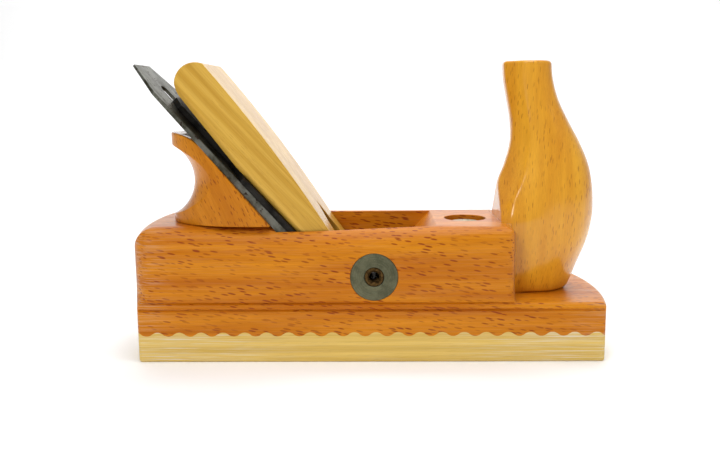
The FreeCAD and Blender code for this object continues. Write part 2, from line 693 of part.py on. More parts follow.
def make_cap_iron():
    """Cap iron: flat plate with a bowed lip and a narrow tongue at the top."""
    lip = EDGE_S + CAP_BACK
    low_start = bed_point(CAP_BOW_START, iron_face(CAP_BOW_START) + SEAT_GAP)
    high_start = bed_point(CAP_BOW_START, cap_face(CAP_BOW_START))
    low_lip = bed_point(lip, IRON_THICK + LIP_GAP)
    high_lip = bed_point(lip + 0.5, IRON_THICK + 0.5)
    low_mid = bed_point((CAP_BOW_START + lip) / 2, iron_face(CAP_BOW_START) + SEAT_GAP - 0.1)
    high_mid = bed_point((CAP_BOW_START + lip) / 2, cap_face(CAP_BOW_START) - 0.75)
    low_end = bed_point(CAP_END, iron_face(CAP_END) + SEAT_GAP)
    high_end = bed_point(CAP_END, cap_face(CAP_END))
    outline = [Part.Arc(low_lip, low_mid, low_start).toShape()]
    outline.append(Part.Arc(high_lip, high_mid, high_start).toShape())
    outline += lines([low_start, low_end, high_end, high_start]) + lines([low_lip, high_lip])
    cap = across(outline, IRON_WIDTH / 2)
    for side in (-1, 1):
        outer = side * (IRON_WIDTH / 2 + 1)
        tongue = side * CAP_TONGUE_WIDTH / 2
        end = tongue - side * CAP_END_CLIP
        clip = [bed_point(CAP_SHOULDER, -2, outer), bed_point(CAP_SHOULDER, -2, side * IRON_WIDTH / 2),
                bed_point(CAP_TONGUE_START, -2, tongue), bed_point(CAP_END - CAP_END_CLIP, -2, tongue),
                bed_point(CAP_END, -2, end), bed_point(CAP_END + 2, -2, end), bed_point(CAP_END + 2, -2, outer)]
        cap = cap.cut(face_of(lines(clip + [clip[0]])).extrude(bed_point(0, 14) - bed_point(0, 0)))
    return cap.cut(bed_cylinder(BOSS_R - 2 + GLUE_GAP, SCREW_S, -2, 20))


def make_boss():
    """Threaded boss riveted into the cap iron."""
    top = cap_face(SCREW_S) + BOSS_HEIGHT
    foot = iron_face(SCREW_S) + 0.4
    plate_top = cap_face(SCREW_S) + 0.3
    boss = bed_cylinder(BOSS_R, SCREW_S, plate_top, top)
    boss = boss.fuse(bed_cylinder(BOSS_R - 2, SCREW_S, foot, plate_top))
    return boss.cut(bed_cylinder(CAP_SCREW_R + RUNNING_FIT, SCREW_S, -2, 20))


def make_cap_screw():
    """Screw that clamps the cap iron, its flat head under the iron."""
    under = -CAP_HEAD_GAP
    head = bed_cylinder(CAP_HEAD_R, SCREW_S, under - CAP_HEAD_THICK, under)
    face = under - CAP_HEAD_THICK
    floor = face + DRIVER_SLOT_DEPTH
    start = SCREW_S - 15
    end = SCREW_S + 15
    slot = across([bed_point(start, face - PAST), bed_point(end, face - PAST), bed_point(end, floor),
                   bed_point(start, floor)], DRIVER_SLOT_WIDTH / 2)
    shank = bed_cylinder(CAP_SCREW_R, SCREW_S, under - 0.5, cap_face(SCREW_S) + BOSS_HEIGHT - 0.5)
    return head.cut(slot).fuse(shank).removeSplitter()


def wedge_bearing():
    """Angle and offset of the upper face that passes the break point and touches the bar."""
    offset = V(BAR_X - BED_X, 0, BAR_Z)
    bar_s = -offset.x * math.cos(BED) + offset.z * math.sin(BED)
    bar_n = offset.x * math.sin(BED) + offset.z * math.cos(BED)
    run = WEDGE_BREAK - bar_s
    rise = WEDGE_BREAK_N - bar_n
    reach = math.hypot(run, rise)
    return math.atan2(rise, run) + math.asin((BAR_R + BAR_GAP) / reach)


def boss_groove():
    """Groove under the wedge that lets the boss pass; its roof keeps the same height above the cap iron."""
    start = FORK_SHOULDER - 5
    end = WEDGE_END + 20
    clear = BOSS_HEIGHT + BOSS_GROOVE_PLAY
    return across([bed_point(start, -PAST), bed_point(end, -PAST), bed_point(end, cap_face(end) + clear),
                   bed_point(start, cap_face(start) + clear)], BOSS_R + BOSS_GROOVE_PLAY)


def make_wedge():
    """Forked wedge with a rounded top end and a groove over the boss."""
    angle = wedge_bearing()

    def upper(along):
        return WEDGE_BREAK_N - (WEDGE_BREAK - along) * math.tan(angle)

    def under(along):
        return cap_face(along) + SEAT_GAP

    tip_low = bed_point(WEDGE_TIP, under(WEDGE_TIP))
    tip_high = bed_point(WEDGE_TIP, under(WEDGE_TIP) + WEDGE_TIP_THICK)
    nose = bed_point(WEDGE_NOSE, upper(WEDGE_NOSE))
    break_point = bed_point(WEDGE_BREAK, WEDGE_BREAK_N)
    middle = bed_point(WEDGE_MIDDLE, WEDGE_MIDDLE_N)
    end_high = bed_point(WEDGE_END, WEDGE_END_N)
    bulge = bed_point(WEDGE_END + WEDGE_END_BULGE, (WEDGE_END_N + WEDGE_RELIEF_N) / 2 + 1.5)
    end_low = bed_point(WEDGE_END - 3, WEDGE_RELIEF_N)
    relief = bed_point(WEDGE_RELIEF_START, under(WEDGE_RELIEF_START))
    outline = lines([end_low, relief, tip_low, tip_high, nose, break_point])
    outline.append(Part.Arc(break_point, middle, end_high).toShape())
    outline.append(Part.Arc(end_high, bulge, end_low).toShape())
    wedge = across(outline, WEDGE_WIDTH / 2)
    arrises = edges_where(wedge, lambda p, e: abs(abs(p.y) - WEDGE_WIDTH / 2) < 0.01 and e.Length > 50
                          and abs(p.z - middle.z) < 45 and p.x > bed_point(WEDGE_MIDDLE, 15).x)
    wedge = wedge.makeChamfer(WEDGE_ARRIS, arrises)
    fork = [bed_point(FORK_POINT, -5, 0), bed_point(FORK_SHOULDER, -5, -FORK_HALF_WIDTH),
            bed_point(0, -5, -FORK_HALF_WIDTH), bed_point(0, -5, FORK_HALF_WIDTH),
            bed_point(FORK_SHOULDER, -5, FORK_HALF_WIDTH)]
    wedge = wedge.cut(face_of(lines(fork + [fork[0]])).extrude(bed_point(0, 40) - bed_point(0, 0)))
    return wedge.cut(boss_groove())


def build():
    """Every node of the plane, by name."""
    whole = rounded_body()
    lower = below_joint()
    return {
        "stock": make_stock(whole, lower),
        "sole": make_sole(whole, lower),
        "mouth_block": make_mouth_block(),
        "mouth_nut": make_mouth_nut(),
        "mouth_screw": make_lock_screw(),
        "mouth_screw_washer": make_washer(),
        "horn": make_horn(),
        "horn_dowel": horn_dowel(),
        "hand_rest": make_hand_rest(),
        "hand_rest_dowels": Part.makeCompound(rest_dowel()),
        "cutting_iron": make_iron(),
        "chip_breaker": make_cap_iron(),
        "chip_breaker_boss": make_boss(),
        "chip_breaker_screw": make_cap_screw(),
        "wedge": make_wedge(),
        "cross_bar": make_cross_bar(),
        "side_plate_near": make_side_plate(-1),
        "side_plate_far": make_side_plate(1),
        "striking_button": make_button(),
    }


os.makedirs("parts", exist_ok=True)
for name, shape in build().items():
    shape.exportStep("parts/" + name + ".step")
    state = "valid" if shape.isValid() else "INVALID"
    print(name, len(shape.Solids), "solid(s)", round(shape.Volume), "mm3", state)
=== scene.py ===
"""Visual model of a wooden smoothing plane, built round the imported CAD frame.

Lengths in the classes are millimetres; meshes are in metres. +X is the toe, +Y the far side, +Z up.
"""

import json
import logging
import math
from dataclasses import dataclass, field
from enum import Enum
from typing import Any, Callable, Sequence

import bmesh
import bpy
import numpy as np
from mathutils import Matrix, Vector

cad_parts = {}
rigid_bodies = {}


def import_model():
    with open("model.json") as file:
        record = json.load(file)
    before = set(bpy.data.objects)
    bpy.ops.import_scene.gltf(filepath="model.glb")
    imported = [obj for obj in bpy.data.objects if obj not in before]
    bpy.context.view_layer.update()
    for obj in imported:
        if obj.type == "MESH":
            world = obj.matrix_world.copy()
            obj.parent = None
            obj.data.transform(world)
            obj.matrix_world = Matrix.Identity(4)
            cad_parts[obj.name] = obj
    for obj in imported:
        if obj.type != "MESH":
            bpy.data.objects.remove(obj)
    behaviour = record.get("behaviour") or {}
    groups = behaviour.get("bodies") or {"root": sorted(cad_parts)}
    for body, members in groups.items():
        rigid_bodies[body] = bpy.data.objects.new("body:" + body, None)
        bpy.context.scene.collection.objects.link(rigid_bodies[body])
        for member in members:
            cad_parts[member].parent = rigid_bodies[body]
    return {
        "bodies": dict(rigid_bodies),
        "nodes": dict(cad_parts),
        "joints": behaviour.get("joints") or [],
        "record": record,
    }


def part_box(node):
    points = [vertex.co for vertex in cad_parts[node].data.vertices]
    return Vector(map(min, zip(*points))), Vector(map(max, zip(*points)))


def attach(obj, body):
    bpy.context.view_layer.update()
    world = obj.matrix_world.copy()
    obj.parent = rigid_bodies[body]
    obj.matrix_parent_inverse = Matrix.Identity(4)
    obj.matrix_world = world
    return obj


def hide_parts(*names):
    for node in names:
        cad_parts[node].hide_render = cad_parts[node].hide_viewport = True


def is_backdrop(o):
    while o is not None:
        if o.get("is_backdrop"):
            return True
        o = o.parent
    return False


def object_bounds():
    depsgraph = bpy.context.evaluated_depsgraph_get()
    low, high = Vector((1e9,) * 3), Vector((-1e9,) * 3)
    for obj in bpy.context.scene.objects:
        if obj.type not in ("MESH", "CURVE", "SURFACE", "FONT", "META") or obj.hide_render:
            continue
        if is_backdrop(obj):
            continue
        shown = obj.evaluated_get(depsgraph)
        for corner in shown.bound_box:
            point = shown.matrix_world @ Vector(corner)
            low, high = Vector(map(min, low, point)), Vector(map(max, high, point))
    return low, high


LOG = logging.getLogger("smoothing_plane")
MM = 0.001
MERGE = 0.002                              # points nearer than this are one
FLAT = math.radians(0.02)                  # faces that turn by less than this are one
TURNED_CORNER = math.radians(35)           # a lathe-turned edge sharper than this stays crisp
Colour = tuple[float, float, float, float]
Point = tuple[float, float, float]
Pair = tuple[float, float]
Piece = bpy.types.Object
Material = bpy.types.Material
Tree = bpy.types.NodeTree


class Side(Enum):
    """The two cheeks of the plane, seen from the heel; the value is the sign of Y."""

    NEAR = -1
    FAR = 1


class Patina(Enum):
    """What age has put on a metal."""

    CLEAN = "clean"
    RUST = "rust"
    VERDIGRIS = "verdigris"
    DULL = "dull"


def linear(code: str) -> Colour:
    """Turn an sRGB hex colour to linear RGBA.

    Args:
        code: six hex digits, with or without a leading hash.

    Returns:
        The colour as Blender's sockets take it.
    """
    digits = code.lstrip("#")
    parts = [int(digits[i:i + 2], 16) / 255 for i in (0, 2, 4)]
    red, green, blue = (c / 12.92 if c <= 0.04045 else ((c + 0.055) / 1.055) ** 2.4 for c in parts)
    return (red, green, blue, 1.0)


def add_node(tree: Tree, kind: str, links: dict[Any, Any] | None = None, **settings: Any) -> Any:
    """Add a node, set its properties, and fill or link its inputs.

    Args:
        tree: the tree that gets the node.
        kind: Blender's class name of the node.
        links: input name or number to a value, or to the output socket that feeds it.
        settings: properties of the node itself.

    Returns:
        The new node.
    """
    node = tree.nodes.new(kind)
    for key, value in settings.items():
        setattr(node, key, value)
    for key, value in (links or {}).items():
        if isinstance(value, bpy.types.NodeSocket):
            tree.links.new(value, node.inputs[key])
        else:
            node.inputs[key].default_value = value
    return node


def new_material(name: str) -> tuple[Material, Tree, Any]:
    """Make an empty material.

    Args:
        name: the material's name.

    Returns:
        The material, its node tree and its Principled shader.
    """
    material = bpy.data.materials.new(name)
    material.use_nodes = True
    tree = material.node_tree
    tree.nodes.clear()
    shader = add_node(tree, "ShaderNodeBsdfPrincipled")
    add_node(tree, "ShaderNodeOutputMaterial", {"Surface": shader.outputs[0]})
    return material, tree, shader


# numbered sockets of the colour Mix node
MIX_A, MIX_B, MIX_OUT = 6, 7, 2


def blend(tree: Tree, share: Any, under: Any, over: Any) -> Any:
    """Lay one colour over another."""
    return add_node(tree, "ShaderNodeMix", {0: share, MIX_A: under, MIX_B: over},
                    data_type="RGBA").outputs[MIX_OUT]


def ramp(tree: Tree, value: Any, low: float, high: float, to: Pair = (0.0, 1.0)) -> Any:
    """Map a value smoothly from low-high to the range given in to."""
    return add_node(tree, "ShaderNodeMapRange", {0: value, 1: low, 2: high, 3: to[0], 4: to[1]},
                    interpolation_type="SMOOTHSTEP").outputs[0]


def sums(tree: Tree, how: str, *values: Any) -> Any:
    """Work out one step of arithmetic, such as ADD, MULTIPLY or ABSOLUTE."""
    return add_node(tree, "ShaderNodeMath", dict(enumerate(values)), operation=how).outputs[0]


def noise(tree: Tree, vector: Any, **sizes: float) -> Any:
    """Cloudy noise, by default with one unit to a cloud."""
    return add_node(tree, "ShaderNodeTexNoise", {"Vector": vector, "Scale": 1.0, **sizes}).outputs[0]


def scaled(tree: Tree, vector: Any, size: Point, shift: float = 0.0) -> Any:
    """Scale a space so that one unit is one figure of the given size."""
    return add_node(tree, "ShaderNodeMapping", {"Vector": vector, "Scale": tuple(1 / s for s in size),
                                                "Location": (shift, shift, shift)}).outputs[0]


def along_grain(tree: Tree, place: Any, turn: Point) -> Any:
    """Object space in millimetres, turned by some degrees."""
    return add_node(tree, "ShaderNodeMapping", {
        "Vector": place, "Rotation": tuple(math.radians(a) for a in turn),
        "Scale": (1 / MM, 1 / MM, 1 / MM)}).outputs[0]


def relief(tree: Tree, shader: Any, height: Any, strength: float, depth: float, sunk: bool = False) -> None:
    """Give a shader a bump of some millimetres' depth."""
    bump = add_node(tree, "ShaderNodeBump", {"Height": height, "Strength": strength, "Distance": depth * MM},
                    invert=sunk)
    tree.links.new(bump.outputs[0], shader.inputs["Normal"])


@dataclass(frozen=True)
class WoodFinish:
    """A planed hardwood under clear lacquer: growth figure, fine fibres, ray flecks and worn places.

    The pattern space is in millimetres with X along the grain, Y into the face and Z across it.
    """

    name: str
    light: str
    dark: str
    fleck: str
    end: str
    turn: Point = (0.0, 0.0, 0.0)          # degrees, turns the grain to X
    figure: Point = (110.0, 16.0, 5.0)     # size of the growth figure along, into and across the grain
    figure_low: float = 0.35
    figure_high: float = 0.68
    fibre: Point = (9.0, 0.6, 0.32)
    fibre_share: float = 0.16
    fibre_range: Pair = (0.38, 0.66)
    fleck_cell: Point = (4.4, 7.0, 1.0)
    fleck_radius: float = 0.25
    fleck_share: float = 0.8
    fleck_tilt: float = 8.0
    fleck_edge: Pair = (0.72, 1.18)        # where a fleck starts and ends to fade, in its own radii
    patch: Point = (26.0, 20.0, 11.0)      # size of the places with more and with fewer flecks
    patch_range: Pair = (0.34, 0.62)
    patch_least: float = 0.35              # flecks left where there are fewest
    grain_axis: Point = (1.0, 0.0, 0.0)
    end_share: float = 0.45
    end_facing: Pair = (0.72, 0.97)        # how squarely a face cuts the grain to look like end grain
    coat: float = 1.0
    coat_roughness: float = 0.1
    coat_ior: float = 1.18                 # thin spirit lacquer: little glare face on, strong at a low angle
    roughness: float = 0.46
    specular: float = 0.06                 # the wood's own gloss under the coat
    bump: float = 0.25
    bump_depth: float = 0.06
    wear: str = "e6dcc6"
    wear_share: float = 0.0
    wear_from: float = 50.0                # distance from the middle where the wear begins
    wear_to: float = 112.0
    wear_size: Point = (38.0, 4.0, 0.42)
    wear_range: Pair = (0.47, 0.66)
    wear_least: float = 0.12               # wear left in the middle
    seed: float = 0.0

    def space(self, tree: Tree, vector: Any, size: Point) -> Any:
        """A scaled space with this finish's own shift."""
        return scaled(tree, vector, size, self.seed)

    def make(self) -> Material:
        """Build the material.

        Returns:
            The material, ready to assign.
        """
        material, tree, shader = new_material(self.name)
        place = add_node(tree, "ShaderNodeTexCoord")
        grain = along_grain(tree, place.outputs["Object"], self.turn)
        figure = noise(tree, self.space(tree, grain, self.figure), Detail=3.0, Roughness=0.55, Distortion=0.1)
        colour = blend(tree, ramp(tree, figure, self.figure_low, self.figure_high),
                       linear(self.dark), linear(self.light))
        # fibres finer than this are lost at arm's length, so the finest drawn is a third of a millimetre
        fibre = noise(tree, self.space(tree, grain, self.fibre), Detail=2.0, Roughness=0.6)
        thread = ramp(tree, fibre, *self.fibre_range)
        colour = blend(tree, sums(tree, "MULTIPLY", thread, self.fibre_share), colour, linear(self.fleck))
        ray = self.flecks(tree, grain)
        colour = blend(tree, sums(tree, "MULTIPLY", ray, self.fleck_share), colour, linear(self.fleck))
        facing = add_node(tree, "ShaderNodeVectorMath", {0: place.outputs["Normal"], 1: self.grain_axis},
                          operation="DOT_PRODUCT").outputs["Value"]
        across = ramp(tree, sums(tree, "ABSOLUTE", facing), *self.end_facing, (0.0, self.end_share))
        colour = blend(tree, across, colour, linear(self.end))
        if self.wear_share > 0:
            colour = blend(tree, self.worn(tree, grain), colour, linear(self.wear))
        relief(tree, shader, sums(tree, "ADD", thread, ray), self.bump, self.bump_depth, sunk=True)
        rough = ramp(tree, fibre, 0.3, 0.7, (self.roughness - 0.05, self.roughness + 0.08))
        tree.links.new(colour, shader.inputs["Base Color"])
        tree.links.new(rough, shader.inputs["Roughness"])
        shader.inputs["Specular IOR Level"].default_value = self.specular
        shader.inputs["Coat Weight"].default_value = self.coat
        shader.inputs["Coat IOR"].default_value = self.coat_ior
        shader.inputs["Coat Roughness"].default_value = self.coat_roughness
        return material

    def flecks(self, tree: Tree, grain: Any) -> Any:
        """Ray flecks: the middles of small cells, leaning a little, thicker in some places than in others."""
        tilt = add_node(tree, "ShaderNodeMapping", {
            "Vector": grain, "Rotation": (0.0, math.radians(self.fleck_tilt), 0.0)}).outputs[0]
        cell = add_node(tree, "ShaderNodeTexVoronoi", {"Vector": self.space(tree, tilt, self.fleck_cell),
                                                       "Scale": 1.0, "Randomness": 1.0})
        inner, outer = (self.fleck_radius * edge for edge in self.fleck_edge)
        ray = ramp(tree, cell.outputs["Distance"], inner, outer, (1.0, 0.0))
        patch = noise(tree, self.space(tree, grain, self.patch))
        return sums(tree, "MULTIPLY", ray, ramp(tree, patch, *self.patch_range, (self.patch_least, 1.0)))

    def worn(self, tree: Tree, grain: Any) -> Any:
        """Share of pale scratches, growing from the middle towards both ends."""
        scratch = noise(tree, self.space(tree, grain, self.wear_size), Detail=4.0, Roughness=0.62)
        line = ramp(tree, scratch, *self.wear_range)
        along = sums(tree, "ABSOLUTE", add_node(tree, "ShaderNodeSeparateXYZ", {0: grain}).outputs[0])
        ends = ramp(tree, along, self.wear_from, self.wear_to, (self.wear_least, 1.0))
        return sums(tree, "MULTIPLY", sums(tree, "MULTIPLY", line, ends), self.wear_share)


@dataclass(frozen=True)
class MetalFinish:
    """A turned, ground or plated metal with a mottled patina."""

    name: str
    base: str
    tone: str
    stain: str
    patina: Patina = Patina.CLEAN
    roughness: float = 0.42
    mottle: float = 5.0                    # size of the cloudy tones
    spot: float = 2.2                      # spacing of rust or verdigris spots
    spot_edge: float = 0.6
    metallic: float = 1.0
    stroke: Point = (14.0, 0.35, 0.35)     # length and widths of the grinding marks
    turn: Point = (0.0, 0.0, 0.0)
    bump: float = 0.2
    bump_depth: float = 0.05
    tone_range: Pair = (0.38, 0.66)
    spot_fade: float = 0.06
    spot_rough: float = 0.3                # how much rougher a spot is

    def make(self) -> Material:
        """Build the material.

        Returns:
            The material, ready to assign.
        """
        material, tree, shader = new_material(self.name)
        skin = along_grain(tree, add_node(tree, "ShaderNodeTexCoord").outputs["Object"], self.turn)
        cloud = noise(tree, skin, Scale=1 / self.mottle, Detail=5.0, Roughness=0.65)
        grind = noise(tree, scaled(tree, skin, self.stroke), Detail=2.0)
        speck = noise(tree, skin, Scale=1 / self.spot, Detail=4.0, Roughness=0.7)
        colour = blend(tree, ramp(tree, cloud, *self.tone_range), linear(self.base), linear(self.tone))
        most = 0.0 if self.patina is Patina.CLEAN else 1.0
        spots = ramp(tree, speck, self.spot_edge, self.spot_edge + self.spot_fade, (0.0, most))
        colour = blend(tree, spots, colour, linear(self.stain))
        ground = add_node(tree, "ShaderNodeMapRange", {0: grind, 1: 0.3, 2: 0.7, 3: self.roughness - 0.08,
                                                       4: self.roughness + 0.12}).outputs[0]
        rough = sums(tree, "MULTIPLY_ADD", spots, self.spot_rough, ground)
        relief(tree, shader, sums(tree, "ADD", grind, spots), self.bump, self.bump_depth)
        tree.links.new(colour, shader.inputs["Base Color"])
        tree.links.new(rough, shader.inputs["Roughness"])
        shader.inputs["Metallic"].default_value = self.metallic
        return material


class Frame:
    """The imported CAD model: its nodes, and copies of them that can be worked on."""

    def __init__(self) -> None:
        """Load the frame and keep its box."""
        self.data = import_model()
        self.box = [list(corner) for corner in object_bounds()]

    def paint(self, node: str, material: Material) -> None:
        """Give a CAD node a better material."""
        for slot in self.data["nodes"][node].material_slots:
            slot.material = material

    def corners(self, node: str) -> tuple[Vector, Vector]:
        """Lowest and highest corner of a node, in millimetres."""
        low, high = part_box(node)
        return Vector(low) / MM, Vector(high) / MM

    def centre(self, node: str) -> Vector:
        """Middle of a node's box, in millimetres."""
        low, high = self.corners(node)
        return (low + high) / 2

    def worked_copy(self, node: str, name: str, ease: float, cutter: Piece | None = None,
                    eased: Callable[[Vector], bool] = lambda place: True, turn: float = 28.0) -> Piece:
        """Copy a node and ease its edges, as a maker takes the sharpness off with a file or fine paper.

        Args:
            node: the CAD node.
            name: the new piece's name.
            ease: width of the eased edge.
            cutter: a closed shape to take off first; it is used up.
            eased: says whether an edge is eased, from the place of its middle in millimetres.
            turn: edges that turn by more degrees than this are eased.

        Returns:
            The new piece, at the origin, with its edges rounded in its mesh.
        """
        web = bmesh.new()
        web.from_mesh(self.data["nodes"][node].data)
        bmesh.ops.remove_doubles(web, verts=web.verts, dist=MERGE * MM)
        bmesh.ops.dissolve_degenerate(web, dist=MERGE * MM, edges=web.edges)
        for face in web.faces:
            face.smooth = True
        piece = object_from(name, web)
        if "custom_normal" in piece.data.attributes:
            piece.data.attributes.remove(piece.data.attributes["custom_normal"])
        if cutter is not None:
            join(piece, cutter, "DIFFERENCE")
        web = bmesh.new()
        web.from_mesh(piece.data)
        bmesh.ops.dissolve_limit(web, angle_limit=FLAT, verts=web.verts, edges=web.edges)
        weight = web.edges.layers.float.new("bevel_weight_edge")
        for edge in web.edges:
            edge.smooth = True
            sharp = edge.calc_face_angle(0) > math.radians(turn)
            middle = (edge.verts[0].co + edge.verts[1].co) / (2 * MM)
            edge[weight] = 1.0 if sharp and eased(middle) else 0.0
            if sharp and not eased(middle):
                edge.smooth = False
        web.to_mesh(piece.data)
        web.free()
        bevel = piece.modifiers.new("eased", "BEVEL")
        bevel.width = ease * MM
        bevel.segments = 2
        bevel.limit_method = "WEIGHT"
        bevel.use_clamp_overlap = False
        even = piece.modifiers.new("even", "WEIGHTED_NORMAL")
        even.keep_sharp = True
        return settle(piece)

    def rework(self, node: str, name: str, ease: float, body: str, slot: str, material: Material,
               **options: Any) -> None:
        """Copy a node, ease its edges, dress it and hang it on its body.

        Args:
            node: the CAD node.
            name: the new piece's name.
            ease: width of the eased edge.
            body: the CAD body that it moves with.
            slot: the record's material slot; not used.
            material: its material.
            options: the other settings of worked_copy.
        """
        finish_piece(self.worked_copy(node, name, ease, **options), body, slot, material, node)


def placed(name: str, data: Any) -> Piece:
    """Put a mesh, lamp or camera into the scene as an object at the origin."""
    piece = bpy.data.objects.new(name, data)
    bpy.context.scene.collection.objects.link(piece)
    return piece


def object_from(name: str, web: bmesh.types.BMesh) -> Piece:
    """Put a finished bmesh into the scene as an object at the origin, and free it."""
    mesh = bpy.data.meshes.new(name)
    web.to_mesh(mesh)
    web.free()
    return placed(name, mesh)


def solid_from(name: str, outline: Sequence[Pair], half: float) -> Piece:
    """Closed block that runs across the plane.

    Args:
        name: the object's name.
        outline: x and z of its outline, in millimetres.
        half: half its width.

    Returns:
        The block, faces outward.
    """
    web = bmesh.new()
    ends = [[web.verts.new((x * MM, y * MM, z * MM)) for x, z in outline] for y in (-half, half)]
    web.faces.new(ends[0])
    web.faces.new(ends[1][::-1])
    for i in range(len(outline)):
        j = (i + 1) % len(outline)
        web.faces.new((ends[0][i], ends[1][i], ends[1][j], ends[0][j]))
    bmesh.ops.recalc_face_normals(web, faces=web.faces)
    return object_from(name, web)


def join(piece: Piece, other: Piece, how: str) -> None:
    """Cut another closed shape from a piece, or add it.

    Args:
        piece: the piece that is changed.
        other: the other shape; it is removed afterwards.
        how: DIFFERENCE or UNION.
    """
    step = piece.modifiers.new("join", "BOOLEAN")
    step.operation = how
    step.solver = "EXACT"
    step.object = other
    settle(piece)
    bpy.data.objects.remove(other)


def settle(piece: Piece) -> Piece:
    """Turn a piece's modifiers into a plain mesh.

    Args:
        piece: the object with its modifiers.

    Returns:
        The same object with the result as its mesh and no modifiers.
    """
    graph = bpy.context.evaluated_depsgraph_get()
    mesh = bpy.data.meshes.new_from_object(piece.evaluated_get(graph), depsgraph=graph)
    mesh.name = piece.name
    piece.modifiers.clear()
    piece.data = mesh
    return piece


def finish_piece(piece: Piece, body: str, slot: str, material: Material | None,
                 *nodes: str) -> None:
    """Dress a piece and hang it on its body.

    Args:
        piece: the finished mesh object.
        body: the CAD body that it moves with.
        slot: the record's material slot; not used.
        material: its material, or None where the mesh has it already.
        nodes: the CAD nodes that it stands for.
    """
    if material is not None:
        piece.data.materials.clear()
        piece.data.materials.append(material)
    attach(piece, body)
    if nodes:
        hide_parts(*nodes)
    LOG.info("%s: %d faces on %s", piece.name, len(piece.data.polygons), body)


def lathe(name: str, profile: Sequence[Pair], place: Matrix, steps: int = 96) -> Piece:
    """Turn a closed profile about an axis.

    Args:
        name: the piece's name.
        profile: radius and distance along the axis, closed, in millimetres; radius 0 is allowed at the ends.
        place: turns the axis (Z) and moves the piece, in millimetres.
        steps: facets round the axis.

    Returns:
        The piece, smooth except at its corners, faces outward.
    """
    web = bmesh.new()
    rings = []
    for radius, along in profile:
        if radius == 0:
            rings.append([web.verts.new((0, 0, along))] * steps)
            continue
        angles = (math.tau * i / steps for i in range(steps))
        rings.append([web.verts.new((radius * math.cos(a), radius * math.sin(a), along)) for a in angles])
    closed = profile[0][0] != 0
    for j in range(len(rings) if closed else len(rings) - 1):
        one, two = rings[j], rings[(j + 1) % len(rings)]
        for i in range(steps):
            loop = list(dict.fromkeys((one[i], one[(i + 1) % steps], two[(i + 1) % steps], two[i])))
            if len(loop) > 2:
                web.faces.new(loop)
    bmesh.ops.transform(web, matrix=Matrix.Scale(MM, 4) @ place, verts=web.verts)
    bmesh.ops.recalc_face_normals(web, faces=web.faces)
    for edge in web.edges:
        edge.smooth = edge.calc_face_angle(0) < TURNED_CORNER
    for face in web.faces:
        face.smooth = True
    return object_from(name, web)


class PathTree:
    """Geometry Nodes that sweep a small round section along a spiral or a straight path."""

    def __init__(self, name: str, material: Material) -> None:
        """Start the tree.

        Args:
            name: the tree's name.
            material: what the swept piece is made of.
        """
        self.tree = bpy.data.node_groups.new(name, "GeometryNodeTree")
        self.tree.interface.new_socket("Geometry", in_out="OUTPUT", socket_type="NodeSocketGeometry")
        self.material = material
        self.ids: dict[str, str] = {}
        self.entry: Any = None

    def size(self, label: str, kind: str = "NodeSocketFloat") -> None:
        """Add a named input."""
        socket = self.tree.interface.new_socket(label, in_out="INPUT", socket_type=kind)
        self.ids[label] = socket.identifier

    def value(self, label: str) -> Any:
        """The output of a named input inside the tree."""
        if self.entry is None:
            self.entry = self.tree.nodes.new("NodeGroupInput")
        return self.entry.outputs[label]

    def circle(self, sides: int, radius: str) -> Any:
        """A round section whose radius is a named input."""
        return add_node(self.tree, "GeometryNodeCurvePrimitiveCircle", {
            "Resolution": sides, "Radius": self.value(radius)}).outputs[0]

    def sweep(self, path: Any, section: Any) -> None:
        """Sweep a section along a path, and close the tree with Realize Instances and Set Material."""
        swept = add_node(self.tree, "GeometryNodeCurveToMesh", {
            "Curve": path, "Profile Curve": section, "Fill Caps": True}).outputs[0]
        real = add_node(self.tree, "GeometryNodeRealizeInstances", {0: swept}).outputs[0]
        dressed = add_node(self.tree, "GeometryNodeSetMaterial", {
            "Geometry": real, "Material": self.material}).outputs[0]
        add_node(self.tree, "NodeGroupOutput", {0: dressed})

    def grow(self, name: str, sizes: dict[str, Any], place: Matrix) -> Piece:
        """Run the tree with its sizes and keep the result as a plain mesh.

        Args:
            name: the piece's name.
            sizes: a value for each named input.
            place: where the result goes, in metres.

        Returns:
            The piece, at the origin, with its place in its mesh.
        """
        piece = placed(name, bpy.data.meshes.new(name))
        nodes = piece.modifiers.new(name, "NODES")
        nodes.node_group = self.tree
        for label, value in sizes.items():
            nodes[self.ids[label]] = value
        settle(piece)
        piece.data.transform(place)
        for face in piece.data.polygons:
            face.use_smooth = True
        return piece


def thread_tree(material: Material) -> PathTree:
    """Tree for a screw thread: a fine ridge that climbs a shank or lines a bore."""
    path = PathTree("thread ridge", material)
    for label in ("Turns", "Radius", "Height", "Ridge"):
        path.size(label)
    tree = path.tree
    spiral = add_node(tree, "GeometryNodeCurveSpiral", {
        "Resolution": 40, "Rotations": path.value("Turns"), "Start Radius": path.value("Radius"),
        "End Radius": path.value("Radius"), "Height": path.value("Height")}).outputs[0]
    section = path.circle(4, "Ridge")
    path.sweep(spiral, section)
    return path


def bead_tree(material: Material) -> PathTree:
    """Tree for a moulded bead: a flat oval section along a straight path, its ends closed."""
    path = PathTree("moulded bead", material)
    for label in ("Start", "End"):
        path.size(label, "NodeSocketVector")
    for label in ("Half Height", "Flatness"):
        path.size(label)
    tree = path.tree
    line = add_node(tree, "GeometryNodeCurvePrimitiveLine", {
        "Start": path.value("Start"), "End": path.value("End")}).outputs[0]
    line = add_node(tree, "GeometryNodeResampleCurve", {"Curve": line, "Count": 60}).outputs[0]
    scale = add_node(tree, "ShaderNodeCombineXYZ", {0: path.value("Flatness"), 1: 1.0, 2: 1.0}).outputs[0]
    section = add_node(tree, "GeometryNodeTransform", {
        "Geometry": path.circle(20, "Half Height"), "Scale": scale}).outputs[0]
    path.sweep(line, section)
    return path


